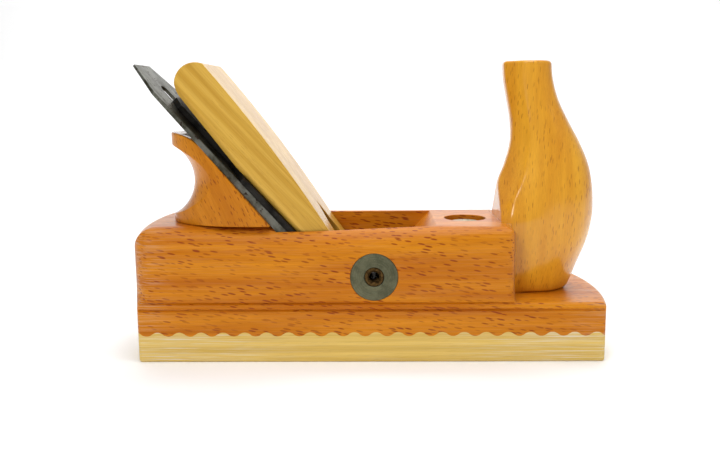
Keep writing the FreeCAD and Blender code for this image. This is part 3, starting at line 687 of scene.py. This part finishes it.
BEECH = WoodFinish(
    # European beech, planed and lacquered: warm orange brown, short dark ray flecks that lean with the grain
    name="lacquered beech", light="dc8c18", dark="bd6906", fleck="8a3404", end="9a5a18", seed=3.7,
    fleck_tilt=-11.0, fleck_cell=(6.6, 1.4, 1.3), fleck_radius=0.3, fleck_share=0.9, figure_low=0.25,
    figure_high=0.75, end_share=0.75, wear_share=0.25, wear_from=86.0, wear_size=(22.0, 4.0, 0.42),
    coat_roughness=0.3)
BEECH_REST = WoodFinish(
    # beech band-sawn with its grain steep, so that the flecks run up the rest
    name="beech hand rest", light="d98c20", dark="c0720f", fleck="803508", end="a5621f",
    turn=(0.0, -65.0, 0.0), grain_axis=(0.42, 0.0, -0.91), fleck_tilt=0.0, figure_low=0.25,
    figure_high=0.75, seed=11.3)
BEECH_HORN = WoodFinish(
    # beech with its grain upright along the horn, paler and yellower than the stock all over
    name="beech horn", light="efae2c", dark="d68d1a", fleck="9c4e0c", end="c98a2c", turn=(0.0, 90.0, 0.0),
    grain_axis=(0.0, 0.0, 1.0), figure=(90.0, 18.0, 8.0), fleck_tilt=-4.0, fleck_cell=(6.0, 7.0, 0.85),
    fleck_radius=0.24, fleck_share=0.6, figure_low=0.2, figure_high=0.8, seed=5.1, coat_ior=1.45,
    coat_roughness=0.14)
SOLE_WOOD = WoodFinish(
    # hornbeam, pale and dense, scratched whitish by use at toe and heel
    name="hornbeam sole", light="eac96f", dark="d9b55e", fleck="a98238", end="caa04a",
    figure=(160.0, 12.0, 2.4), fibre=(22.0, 0.8, 0.4), fleck_share=0.12, fleck_cell=(9.0, 7.0, 0.9),
    end_share=0.5, wear_share=0.9, wear_from=20.0, wear_to=90.0, coat=0.35, coat_roughness=0.3,
    roughness=0.5, seed=8.2)
WEDGE_WOOD = WoodFinish(
    # hornbeam with its grain along the wedge: yellow tan with faint darker lines
    name="hornbeam wedge", light="dcb04e", dark="c99a3a", fleck="93642a", end="c0974c",
    turn=(0.0, -47.6, 0.0), grain_axis=(-0.67, 0.0, 0.74), figure=(120.0, 14.0, 3.2),
    fibre=(16.0, 0.7, 0.4), fleck_share=0.22, fleck_cell=(7.0, 7.0, 0.9), fleck_tilt=0.0,
    fleck_radius=0.2, end_share=0.3, seed=2.9, coat_roughness=0.2)
BLOCK_WOOD = WoodFinish(
    # lignum-like hardwood of the mouth block: dark greenish brown
    name="dense mouth hardwood", light="8a6a35", dark="5f4520", fleck="3f2c12", end="54401f",
    figure=(60.0, 8.0, 2.0), coat=0.3, coat_roughness=0.3, seed=6.4)
DOWEL_WOOD = WoodFinish(
    # plain turned beech dowel
    name="beech dowel", light="cc9146", dark="b47a34", fleck="85501f", end="a5713a", turn=(0.0, 90.0, 0.0),
    grain_axis=(0.0, 0.0, 1.0), coat=0.1, seed=1.2)

IRON_STEEL = MetalFinish(
    # laminated tool steel, ground long ago: grey with brown rust and dark stains; the grey is darkened and
    # mottled dark olive as painted shade and dark reflection for the iron down in the throat
    name="rusted tool steel with painted shade", base="74746b", tone="3e3c30", stain="33241a", patina=Patina.RUST,
    roughness=0.4, mottle=9.0, spot=3.0, spot_edge=0.58, turn=(0.0, -49.2, 0.0), metallic=0.9)
CAP_STEEL = MetalFinish(
    # spring steel in a dull dark grey, made near black as painted shade for the deep shadow it lies in
    # between iron and wedge
    name="cap steel darkened by painted shade", base="2e2c28", tone="171512", stain="3b2a18", patina=Patina.RUST, roughness=0.45,
    mottle=7.0, spot=2.6, spot_edge=0.62, turn=(0.0, -49.2, 0.0), metallic=0.9)
ZINC_STEEL = MetalFinish(
    # zinc-plated turned steel: light cool grey
    name="zinc plated steel", base="a3a39c", tone="7c7b72", stain="4b3b25", patina=Patina.DULL,
    roughness=0.38, mottle=3.0, spot=1.6, spot_edge=0.66, metallic=0.95)
SCREW_STEEL = MetalFinish(
    # dark oiled steel screw
    name="oiled screw steel", base="4b4a45", tone="2b2925", stain="3a2817", patina=Patina.RUST, roughness=0.4,
    mottle=3.0, spot=1.8, spot_edge=0.62, metallic=0.9)
NICKEL_PLATE = MetalFinish(
    # nickel plate gone dull and grey green, with small pale specks
    name="dull nickel plate", base="6a6a52", tone="545540", stain="8d8c6c", patina=Patina.DULL, roughness=0.5,
    mottle=4.5, spot=1.1, spot_edge=0.64, stroke=(1.6, 1.6, 1.6), metallic=0.8, bump=0.15)
NICKEL_SCREW = MetalFinish(
    # nickel-plated screw head, bright on top with green at the rim
    name="nickel screw", base="cfc8b0", tone="a09a7c", stain="4f7a5c", patina=Patina.VERDIGRIS,
    roughness=0.36, mottle=3.0, spot=2.4, spot_edge=0.58, metallic=0.9)
VERDIGRIS_BRASS = MetalFinish(
    # brass washer under green verdigris
    name="verdigris brass", base="8c7a3e", tone="5d6a40", stain="4c8064", patina=Patina.VERDIGRIS,
    roughness=0.55, mottle=2.4, spot=2.0, spot_edge=0.5, metallic=0.75)
BRASS_TUBE = MetalFinish(
    # dark brass tube, brown with age
    name="aged brass tube", base="5a4423", tone="33220f", stain="1f150b", patina=Patina.DULL, roughness=0.35,
    mottle=1.6, spot=1.4, spot_edge=0.6, metallic=0.95)
BUTTON_STEEL = MetalFinish(
    # hammered steel button
    name="hammered steel", base="8b8a84", tone="5f5d55", stain="4a3420", patina=Patina.RUST, roughness=0.35,
    mottle=5.0, spot=3.0, spot_edge=0.62, metallic=0.95, stroke=(3.0, 3.0, 3.0), bump=0.5)


@dataclass
class WoodenBody:
    """Stock, sole and the moulded bead along both sides."""

    ease: float = 0.35
    sole_ease: float = 0.3
    bead_level: float = 26.4
    bead_half: float = 0.95
    bead_bulge: float = 0.32
    bead_reach: float = 108.0
    half_width: float = 32.5
    step_x: float = 67.0
    step_round: float = 5.0
    grooves_top: float = 30.0
    joint_low: float = 11.5
    housing_depth: float = 6.0             # the horn's housing, with a little round it
    housing_half: float = 20.0
    past: float = 2.0                      # how far a cutter reaches past what it cuts
    past_side: float = 5.0

    def above_bead(self, place: Vector) -> bool:
        """Whether an edge of the stock lies above the bead's grooves and off the horn's housing."""
        at_horn = place.x > self.step_x - self.housing_depth and abs(place.y) < self.housing_half
        return place.z > self.grooves_top and not at_horn

    def below_joint(self, place: Vector) -> bool:
        """Whether an edge of the sole lies below the corrugated joint."""
        return place.z < self.joint_low

    def step_cutter(self, frame: Frame) -> Piece:
        """Shape that takes the corner off the step, so that it turns down in a quarter round."""
        top = frame.corners("stock")[1].z
        bend = self.step_round
        centre_x, centre_z = self.step_x - bend, top - bend
        arc = [(centre_x + bend * math.sin(a), centre_z + bend * math.cos(a))
               for a in (math.radians(9 * i) for i in range(11))]
        far_x, far_z = self.step_x + self.past, top + self.past
        return solid_from("step_cutter", [*arc, (far_x, centre_z), (far_x, far_z), (centre_x, far_z)],
                          self.half_width + self.past_side)

    def build(self, frame: Frame) -> None:
        """Build and dress the body.

        Args:
            frame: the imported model.
        """
        beech = BEECH.make()
        frame.rework("stock", "beech_stock", self.ease, "plane_body", "beech", beech,
                     cutter=self.step_cutter(frame), eased=self.above_bead)
        frame.rework("sole", "hornbeam_sole_plate", self.sole_ease, "plane_body", "hornbeam_sole",
                     SOLE_WOOD.make(), eased=self.below_joint)
        tree = bead_tree(beech)
        for side in Side:
            y = side.value * self.half_width * MM
            sizes = {"Start": (-self.bead_reach * MM, 0, 0), "End": (self.bead_reach * MM, 0, 0),
                     "Half Height": self.bead_half * MM, "Flatness": self.bead_bulge / self.bead_half}
            place = Matrix.Translation((0, y, self.bead_level * MM))
            bead = tree.grow("bead_" + side.name.lower(), sizes, place)
            finish_piece(bead, "plane_body", "beech", None)


def cubic(t: float, one: Any, slope_one: Any, two: Any, slope_two: Any) -> Any:
    """Smooth curve between two values with the given slopes, at t from 0 to 1."""
    return ((2 * t ** 3 - 3 * t ** 2 + 1) * one + (t ** 3 - 2 * t ** 2 + t) * slope_one
            + (3 * t ** 2 - 2 * t ** 3) * two + (t ** 3 - t ** 2) * slope_two)


@dataclass
class Horn:
    """The horn: a lofted grip with a flat rear, a soft arris each side and a full round front.

    Each row of stations is height above the platform, then rear x and half width, arris x and half width,
    widest x and half width, and front x; x is from the step's face.
    """

    stations: tuple[tuple[float, ...], ...] = (
        (0.0, -4.9, 11.0, -0.5, 13.6, 8.0, 12.2, 28.6),
        (1.2, -4.9, 11.2, -0.5, 13.9, 8.5, 13.2, 30.4),
        (5.0, -4.9, 11.8, -0.5, 14.6, 9.5, 14.4, 32.2),
        (12.0, -4.9, 13.0, -0.5, 15.6, 11.0, 16.0, 34.8),
        (24.0, -4.9, 15.0, -0.5, 17.6, 15.0, 18.6, 39.4),
        (35.0, -4.9, 16.5, -0.6, 18.8, 17.0, 19.8, 41.7),
        (44.0, -4.9, 9.5, 0.0, 16.6, 17.5, 19.8, 41.9),
        (53.0, -4.6, 2.6, 3.6, 15.4, 18.0, 19.0, 41.0),
        (62.0, -1.4, 2.4, 6.6, 14.4, 18.0, 17.8, 38.8),
        (72.0, 1.0, 2.6, 8.4, 13.6, 16.8, 16.2, 34.3),
        (82.0, 0.8, 2.8, 8.2, 12.9, 15.0, 14.8, 28.7),
        (92.0, -0.9, 3.0, 6.6, 12.5, 12.4, 13.6, 23.6),
        (102.0, -2.7, 3.2, 5.2, 12.3, 10.2, 13.2, 20.6),
        (110.5, -3.3, 3.2, 4.6, 12.4, 9.6, 13.3, 19.6),
    )
    levels: int = 120
    around: int = 168
    soften: float = 0.75                   # how far the arrises are sanded round
    rim: float = 1.6
    crown: float = 0.5
    housing: float = 5.7
    tongue_half: float = 19.15
    tongue_inset: float = 0.3              # the tongue stays this far inside the CAD's
    tongue_lift: float = 0.2
    tongue_drop: float = 0.05
    shoulder: Pair = (0.66, 0.75)
    crisp: float = 50.0                    # degrees; sharper edges keep a hard line

    def at(self, height: float) -> list[float]:
        """The station values at any height, by a smooth curve through the rows."""
        rows = self.stations
        i = max(0, min(len(rows) - 2, sum(1 for row in rows if row[0] <= height) - 1))
        span = rows[i + 1][0] - rows[i][0]
        t = (height - rows[i][0]) / span
        values = []
        for k in range(1, len(rows[0])):
            slopes = []
            for j in (i, i + 1):
                low, high = max(j - 1, 0), min(j + 1, len(rows) - 1)
                slopes.append((rows[high][k] - rows[low][k]) / (rows[high][0] - rows[low][0]) * span)
            values.append(cubic(t, rows[i][k], slopes[0], rows[i + 1][k], slopes[1]))
        return values

    def section(self, height: float) -> np.ndarray:
        """Closed outline of one level, evenly spaced, its corners sanded round."""
        rear_x, rear_y, arris_x, arris_y, wide_x, wide_y, front_x = self.at(height)
        along, wide = self.shoulder
        bend_x, bend_y = wide_x + along * (front_x - wide_x), wide * wide_y
        keys = np.array([(arris_x, -arris_y), (wide_x, -wide_y), (bend_x, -bend_y), (front_x, 0.0),
                         (bend_x, bend_y), (wide_x, wide_y), (arris_x, arris_y)])
        chord = np.concatenate(([0.0], np.cumsum(np.linalg.norm(np.diff(keys, axis=0), axis=1))))
        slope = np.gradient(keys, chord, axis=0)
        front = []
        for i in range(len(keys) - 1):
            step = chord[i + 1] - chord[i]
            for t in np.linspace(0, 1, 24, endpoint=False):
                front.append(cubic(t, keys[i], step * slope[i], keys[i + 1], step * slope[i + 1]))
        loop = np.array([(rear_x, 0.0), (rear_x, -rear_y), *front, keys[-1], (rear_x, rear_y), (rear_x, 0.0)])
        length = np.concatenate(([0.0], np.cumsum(np.linalg.norm(np.diff(loop, axis=0), axis=1))))
        place = np.linspace(0, length[-1], self.around, endpoint=False)
        even = np.stack([np.interp(place, length, loop[:, k]) for k in (0, 1)], axis=1)
        spacing = length[-1] / self.around
        for _ in range(max(1, round((self.soften / spacing) ** 2 * 2))):
            even = even / 2 + (np.roll(even, 1, axis=0) + np.roll(even, -1, axis=0)) / 4
        return even

    def mesh(self, frame: Frame) -> Piece:
        """Loft the sections, round the top rim and add the tongue that fills the housing."""
        low, _ = frame.corners("horn")
        top = self.stations[-1][0]
        step = low.x + self.housing
        heights = list(np.linspace(0, top - self.rim, self.levels))
        rings = [(h, 0.0) for h in heights]
        rings += [(top - self.rim * (1 - math.sin(a)), self.rim * (1 - math.cos(a)))
                  for a in (math.radians(15 * i) for i in range(1, 7))]
        web = bmesh.new()
        loops = []
        for height, inset in rings:
            outline = self.section(min(height, top))
            if inset > 0:
                middle = outline.mean(axis=0)
                away = outline - middle
                outline = middle + away * (1 - inset / np.linalg.norm(away, axis=1, keepdims=True))
            loops.append([web.verts.new(((step + x) * MM, y * MM, (low.z + height) * MM))
                          for x, y in outline])
        middle = np.mean([tuple(v.co) for v in loops[-1]], axis=0)
        for share in (0.72, 0.4):
            raised = self.crown * (1 - share ** 2) * MM
            loops.append([web.verts.new((middle[0] + (v.co.x - middle[0]) * share, v.co.y * share,
                                         middle[2] + raised)) for v in loops[len(rings) - 1]])
        for one, two in zip(loops, loops[1:]):
            for i in range(self.around):
                j = (i + 1) % self.around
                web.faces.new((one[i], one[j], two[j], two[i]))
        web.faces.new(loops[0][::-1])
        web.faces.new(loops[-1])
        bmesh.ops.recalc_face_normals(web, faces=web.faces)
        piece = object_from("beech_horn_handle", web)
        body_top = frame.corners("stock")[1].z
        rear, front = low.x + self.tongue_inset, step - self.tongue_inset
        foot, head = low.z + self.tongue_lift, body_top - self.tongue_drop
        tongue = solid_from("horn_tongue", [(rear, foot), (front, foot), (front, head), (rear, head)],
                            self.tongue_half)
        join(piece, tongue, "UNION")
        for face in piece.data.polygons:
            face.use_smooth = True
        edges = piece.modifiers.new("even", "WEIGHTED_NORMAL")
        edges.keep_sharp = True
        piece.data.set_sharp_from_angle(angle=math.radians(self.crisp))
        return settle(piece)

    def build(self, frame: Frame) -> None:
        """Build and dress the horn.

        Args:
            frame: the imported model.
        """
        finish_piece(self.mesh(frame), "plane_body", "beech_horn", BEECH_HORN.make(), "horn")


@dataclass
class HandRest:
    """The hand rest behind the iron, and the dowels of both handles."""

    ease: float = 0.6
    turn: float = 62.0                     # the cove's rim is left crisp

    def build(self, frame: Frame) -> None:
        """Build and dress the hand rest.

        Args:
            frame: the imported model.
        """
        frame.rework("hand_rest", "beech_hand_rest", self.ease, "plane_body", "beech_rest", BEECH_REST.make(),
                     turn=self.turn)
        dowel = DOWEL_WOOD.make()
        frame.paint("horn_dowel", dowel)
        frame.paint("hand_rest_dowels", dowel)


@dataclass
class IronSet:
    """Cutting iron, cap iron with its boss and screw, and the wedge that holds them."""

    iron_ease: float = 0.25
    cap_ease: float = 0.25
    wedge_ease: float = 0.45
    screw_ease: float = 0.2

    def build(self, frame: Frame) -> None:
        """Build and dress the irons and the wedge.

        Args:
            frame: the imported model.
        """
        # the iron's steel carries painted shade in its darkened, dark olive mottled grey
        frame.rework("cutting_iron", "ground_iron", self.iron_ease, "cutting_iron", "iron_steel",
                     IRON_STEEL.make())
        # the cap iron's near-black steel is painted shade for the gap under the wedge
        frame.rework("chip_breaker", "cap_iron", self.cap_ease, "chip_breaker", "cap_steel", CAP_STEEL.make())
        frame.rework("chip_breaker_boss", "threaded_boss", self.screw_ease, "chip_breaker", "zinc_steel",
                     ZINC_STEEL.make())
        frame.rework("chip_breaker_screw", "cap_iron_screw", self.screw_ease, "chip_breaker_screw",
                     "dark_screw_steel", SCREW_STEEL.make())
        frame.rework("wedge", "forked_wedge", self.wedge_ease, "wedge", "hornbeam_wedge", WEDGE_WOOD.make())


@dataclass
class AdjustableMouth:
    """Mouth block, its nut, the lock screw and its washer."""

    ease: float = 0.25

    def build(self, frame: Frame) -> None:
        """Build and dress the mouth.

        Args:
            frame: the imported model.
        """
        frame.rework("mouth_block", "mouth_block_wood", self.ease, "mouth", "mouth_hardwood",
                     BLOCK_WOOD.make())
        frame.rework("mouth_nut", "square_nut", self.ease, "mouth", "zinc_steel",
                     bpy.data.materials[ZINC_STEEL.name])
        frame.rework("mouth_screw", "lock_screw", self.ease, "mouth_screw", "nickel_screw",
                     NICKEL_SCREW.make())
        frame.rework("mouth_screw_washer", "lock_washer", self.ease, "mouth", "verdigris_brass",
                     VERDIGRIS_BRASS.make())


@dataclass
class CrossBar:
    """Brass tube across the throat, threaded at its ends, and a turned plate in each cheek."""

    tube_r: float = 4.5
    bore_r: float = 2.55
    plate_r: float = 11.0
    plate_thick: float = 1.98
    rim_round: float = 0.35
    ring_pitch: float = 1.05
    ring_depth: float = 0.045
    chamfer: float = 0.6
    edge_cut: float = 0.25
    ring_half: float = 0.2
    hole_cut: float = 0.2
    seat: float = 0.05                     # room between tube and plate
    thread_turns: float = 8.0
    thread_pitch: float = 0.8
    thread_ridge: float = 0.22
    facets: int = 128

    def tube_profile(self, half: float) -> list[Pair]:
        """Closed profile of the tube with chamfered mouths."""
        outer, inner, cut, edge = self.tube_r, self.bore_r, self.chamfer, self.edge_cut
        return [(outer, -half + edge), (outer - edge, -half), (inner + cut, -half), (inner, -half + cut),
                (inner, half - cut), (inner + cut, half), (outer - edge, half), (outer, half - edge)]

    def plate_profile(self, bore: float) -> list[Pair]:
        """Closed profile of a plate, its face marked by turned rings; the face is at 0, the back below it."""
        rim = self.rim_round
        back = -self.plate_thick
        profile = [(bore, back), (self.plate_r, back), (self.plate_r, -rim)]
        profile += [(self.plate_r - rim * (1 - math.cos(a)), -rim * (1 - math.sin(a)))
                    for a in (math.pi / 6, math.pi / 3, math.pi / 2)]
        count = int((self.plate_r - bore - 2 * rim) / self.ring_pitch)
        for i in range(1, count):
            radius = self.plate_r - rim - i * self.ring_pitch
            profile += [(radius + self.ring_half, 0.0), (radius, -self.ring_depth),
                        (radius - self.ring_half, 0.0)]
        profile += [(bore + self.hole_cut, 0.0), (bore, -self.hole_cut)]
        return profile

    def build(self, frame: Frame) -> None:
        """Build and dress the bar and the plates.

        Args:
            frame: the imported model.
        """
        brass = BRASS_TUBE.make()
        nickel = NICKEL_PLATE.make()
        low, high = frame.corners("cross_bar")
        middle = frame.centre("cross_bar")
        half = (high.y - low.y) / 2
        sideways = Matrix.Translation(middle) @ Matrix.Rotation(math.radians(-90), 4, "X")
        tube = lathe("brass_cross_tube", self.tube_profile(half), sideways, self.facets)
        finish_piece(tube, "plane_body", "brass_tube", brass, "cross_bar")
        thread = thread_tree(brass)
        for side in Side:
            node = "side_plate_" + side.name.lower()
            plate_low, plate_high = frame.corners(node)
            face = plate_high.y if side is Side.FAR else plate_low.y
            turn = Matrix.Rotation(math.radians(-90 * side.value), 4, "X")
            place = Matrix.Translation((middle.x, face, middle.z)) @ turn
            profile = self.plate_profile(self.tube_r + self.seat)
            plate = lathe("turned_plate_" + side.name.lower(), profile, place, self.facets)
            finish_piece(plate, "plane_body", "nickel_plate", nickel, node)
            length = self.thread_turns * self.thread_pitch
            sizes = {"Turns": self.thread_turns, "Radius": self.bore_r * MM, "Height": length * MM,
                     "Ridge": self.thread_ridge * MM}
            start = Matrix.Translation(Vector((middle.x, side.value * (half - self.chamfer), middle.z)) * MM)
            ridge = thread.grow("bore_thread_" + side.name.lower(), sizes,
                                start @ Matrix.Rotation(math.radians(90 * side.value), 4, "X"))
            finish_piece(ridge, "plane_body", "brass_tube", None)


@dataclass
class StrikingButton:
    """Domed steel button in the heel."""

    ease: float = 0.3

    def build(self, frame: Frame) -> None:
        """Build and dress the button.

        Args:
            frame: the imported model.
        """
        frame.rework("striking_button", "domed_button", self.ease, "plane_body", "button_steel",
                     BUTTON_STEEL.make())


@dataclass
class Studio:
    """Pale sweep, soft lights and the camera."""

    camera_place: Point = (1.04, -390.42, 122.98)
    yaw: float = -0.9064                   # degrees towards the toe
    pitch: float = 9.2304                  # degrees down
    roll: float = -0.4202
    lens: float = 39.93
    sweep_half: float = 3000.0
    sweep_front: float = -2500.0
    sweep_back: float = 1400.0
    sweep_radius: float = 700.0
    sweep_height: float = 2200.0
    paper: str = "ffffff"
    paper_roughness: float = 0.9
    world_strength: float = 0.32
    lights: tuple[tuple[str, Point, Point, float, float], ...] = field(default_factory=lambda: (
        ("overhead", (80.0, -120.0, 1000.0), (0.0, 0.0, 60.0), 500.0, 4.0),
        ("front_left", (-480.0, -850.0, 660.0), (0.0, 0.0, 60.0), 300.0, 3.3),
        ("front_right", (800.0, -420.0, 600.0), (0.0, 0.0, 60.0), 120.0, 1.1),
        ("backdrop", (0.0, 900.0, 1900.0), (0.0, 1900.0, 600.0), 1500.0, 33.0),
    ))

    def camera(self) -> None:
        """Place the camera."""
        yaw, pitch, roll = (math.radians(a) for a in (self.yaw, self.pitch, self.roll))
        ahead = Vector((math.sin(yaw) * math.cos(pitch), math.cos(yaw) * math.cos(pitch), -math.sin(pitch)))
        level = Vector((math.cos(yaw), -math.sin(yaw), 0.0))
        up = level.cross(ahead)
        right = math.cos(roll) * level + math.sin(roll) * up
        above = math.cos(roll) * up - math.sin(roll) * level
        turn = Matrix((right, above, -ahead)).transposed().to_4x4()
        data = bpy.data.cameras.new("camera")
        data.lens = self.lens
        data.sensor_width = 36.0
        data.clip_start = 0.01
        camera = placed("camera", data)
        camera.matrix_world = Matrix.Translation(Vector(self.camera_place) * MM) @ turn
        bpy.context.scene.camera = camera

    def sweep(self) -> None:
        """Make the paper sweep: a floor that curves up behind the plane."""
        profile = [(self.sweep_front, 0.0), (self.sweep_back, 0.0)]
        profile += [(self.sweep_back + self.sweep_radius * math.sin(a), self.sweep_radius * (1 - math.cos(a)))
                    for a in (math.radians(7.5 * i) for i in range(1, 13))]
        profile.append((self.sweep_back + self.sweep_radius, self.sweep_height))
        points = [(x * MM, y * MM, z * MM) for x in (-self.sweep_half, self.sweep_half) for y, z in profile]
        count = len(profile)
        faces = [(i, i + count, i + count + 1, i + 1) for i in range(count - 1)]
        mesh = bpy.data.meshes.new("paper_sweep")
        mesh.from_pydata(points, [], faces)
        for face in mesh.polygons:
            face.use_smooth = True
        material, _, shader = new_material("matt white paper")
        shader.inputs["Base Color"].default_value = linear(self.paper)
        shader.inputs["Roughness"].default_value = self.paper_roughness
        mesh.materials.append(material)
        placed("paper_sweep", mesh)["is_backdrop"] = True

    def light(self) -> None:
        """Hang the soft boxes and fill the world with white."""
        for name, place, aim, size, power in self.lights:
            data = bpy.data.lights.new(name, "AREA")
            data.shape = "SQUARE"
            data.size = size * MM
            data.energy = power
            lamp = placed(name, data)
            away = Vector(place) - Vector(aim)
            lamp.rotation_euler = away.to_track_quat("Z", "Y").to_euler()
            lamp.location = Vector(place) * MM
        world = bpy.data.worlds.new("studio")
        world.use_nodes = True
        ground = world.node_tree.nodes["Background"]
        ground.inputs["Color"].default_value = (1.0, 1.0, 1.0, 1.0)
        ground.inputs["Strength"].default_value = self.world_strength
        bpy.context.scene.world = world
        bpy.context.scene.view_settings.view_transform = "Standard"

    def build(self) -> None:
        """Set up the whole studio."""
        self.camera()
        self.sweep()
        self.light()


def main() -> None:
    """Build the plane round its frame."""
    logging.basicConfig(level=logging.INFO, format="%(name)s %(message)s")
    frame = Frame()
    Studio().build()
    WoodenBody().build(frame)
    Horn().build(frame)
    HandRest().build(frame)
    IronSet().build(frame)
    AdjustableMouth().build(frame)
    CrossBar().build(frame)
    StrikingButton().build(frame)


if __name__ == "__main__":
    main()
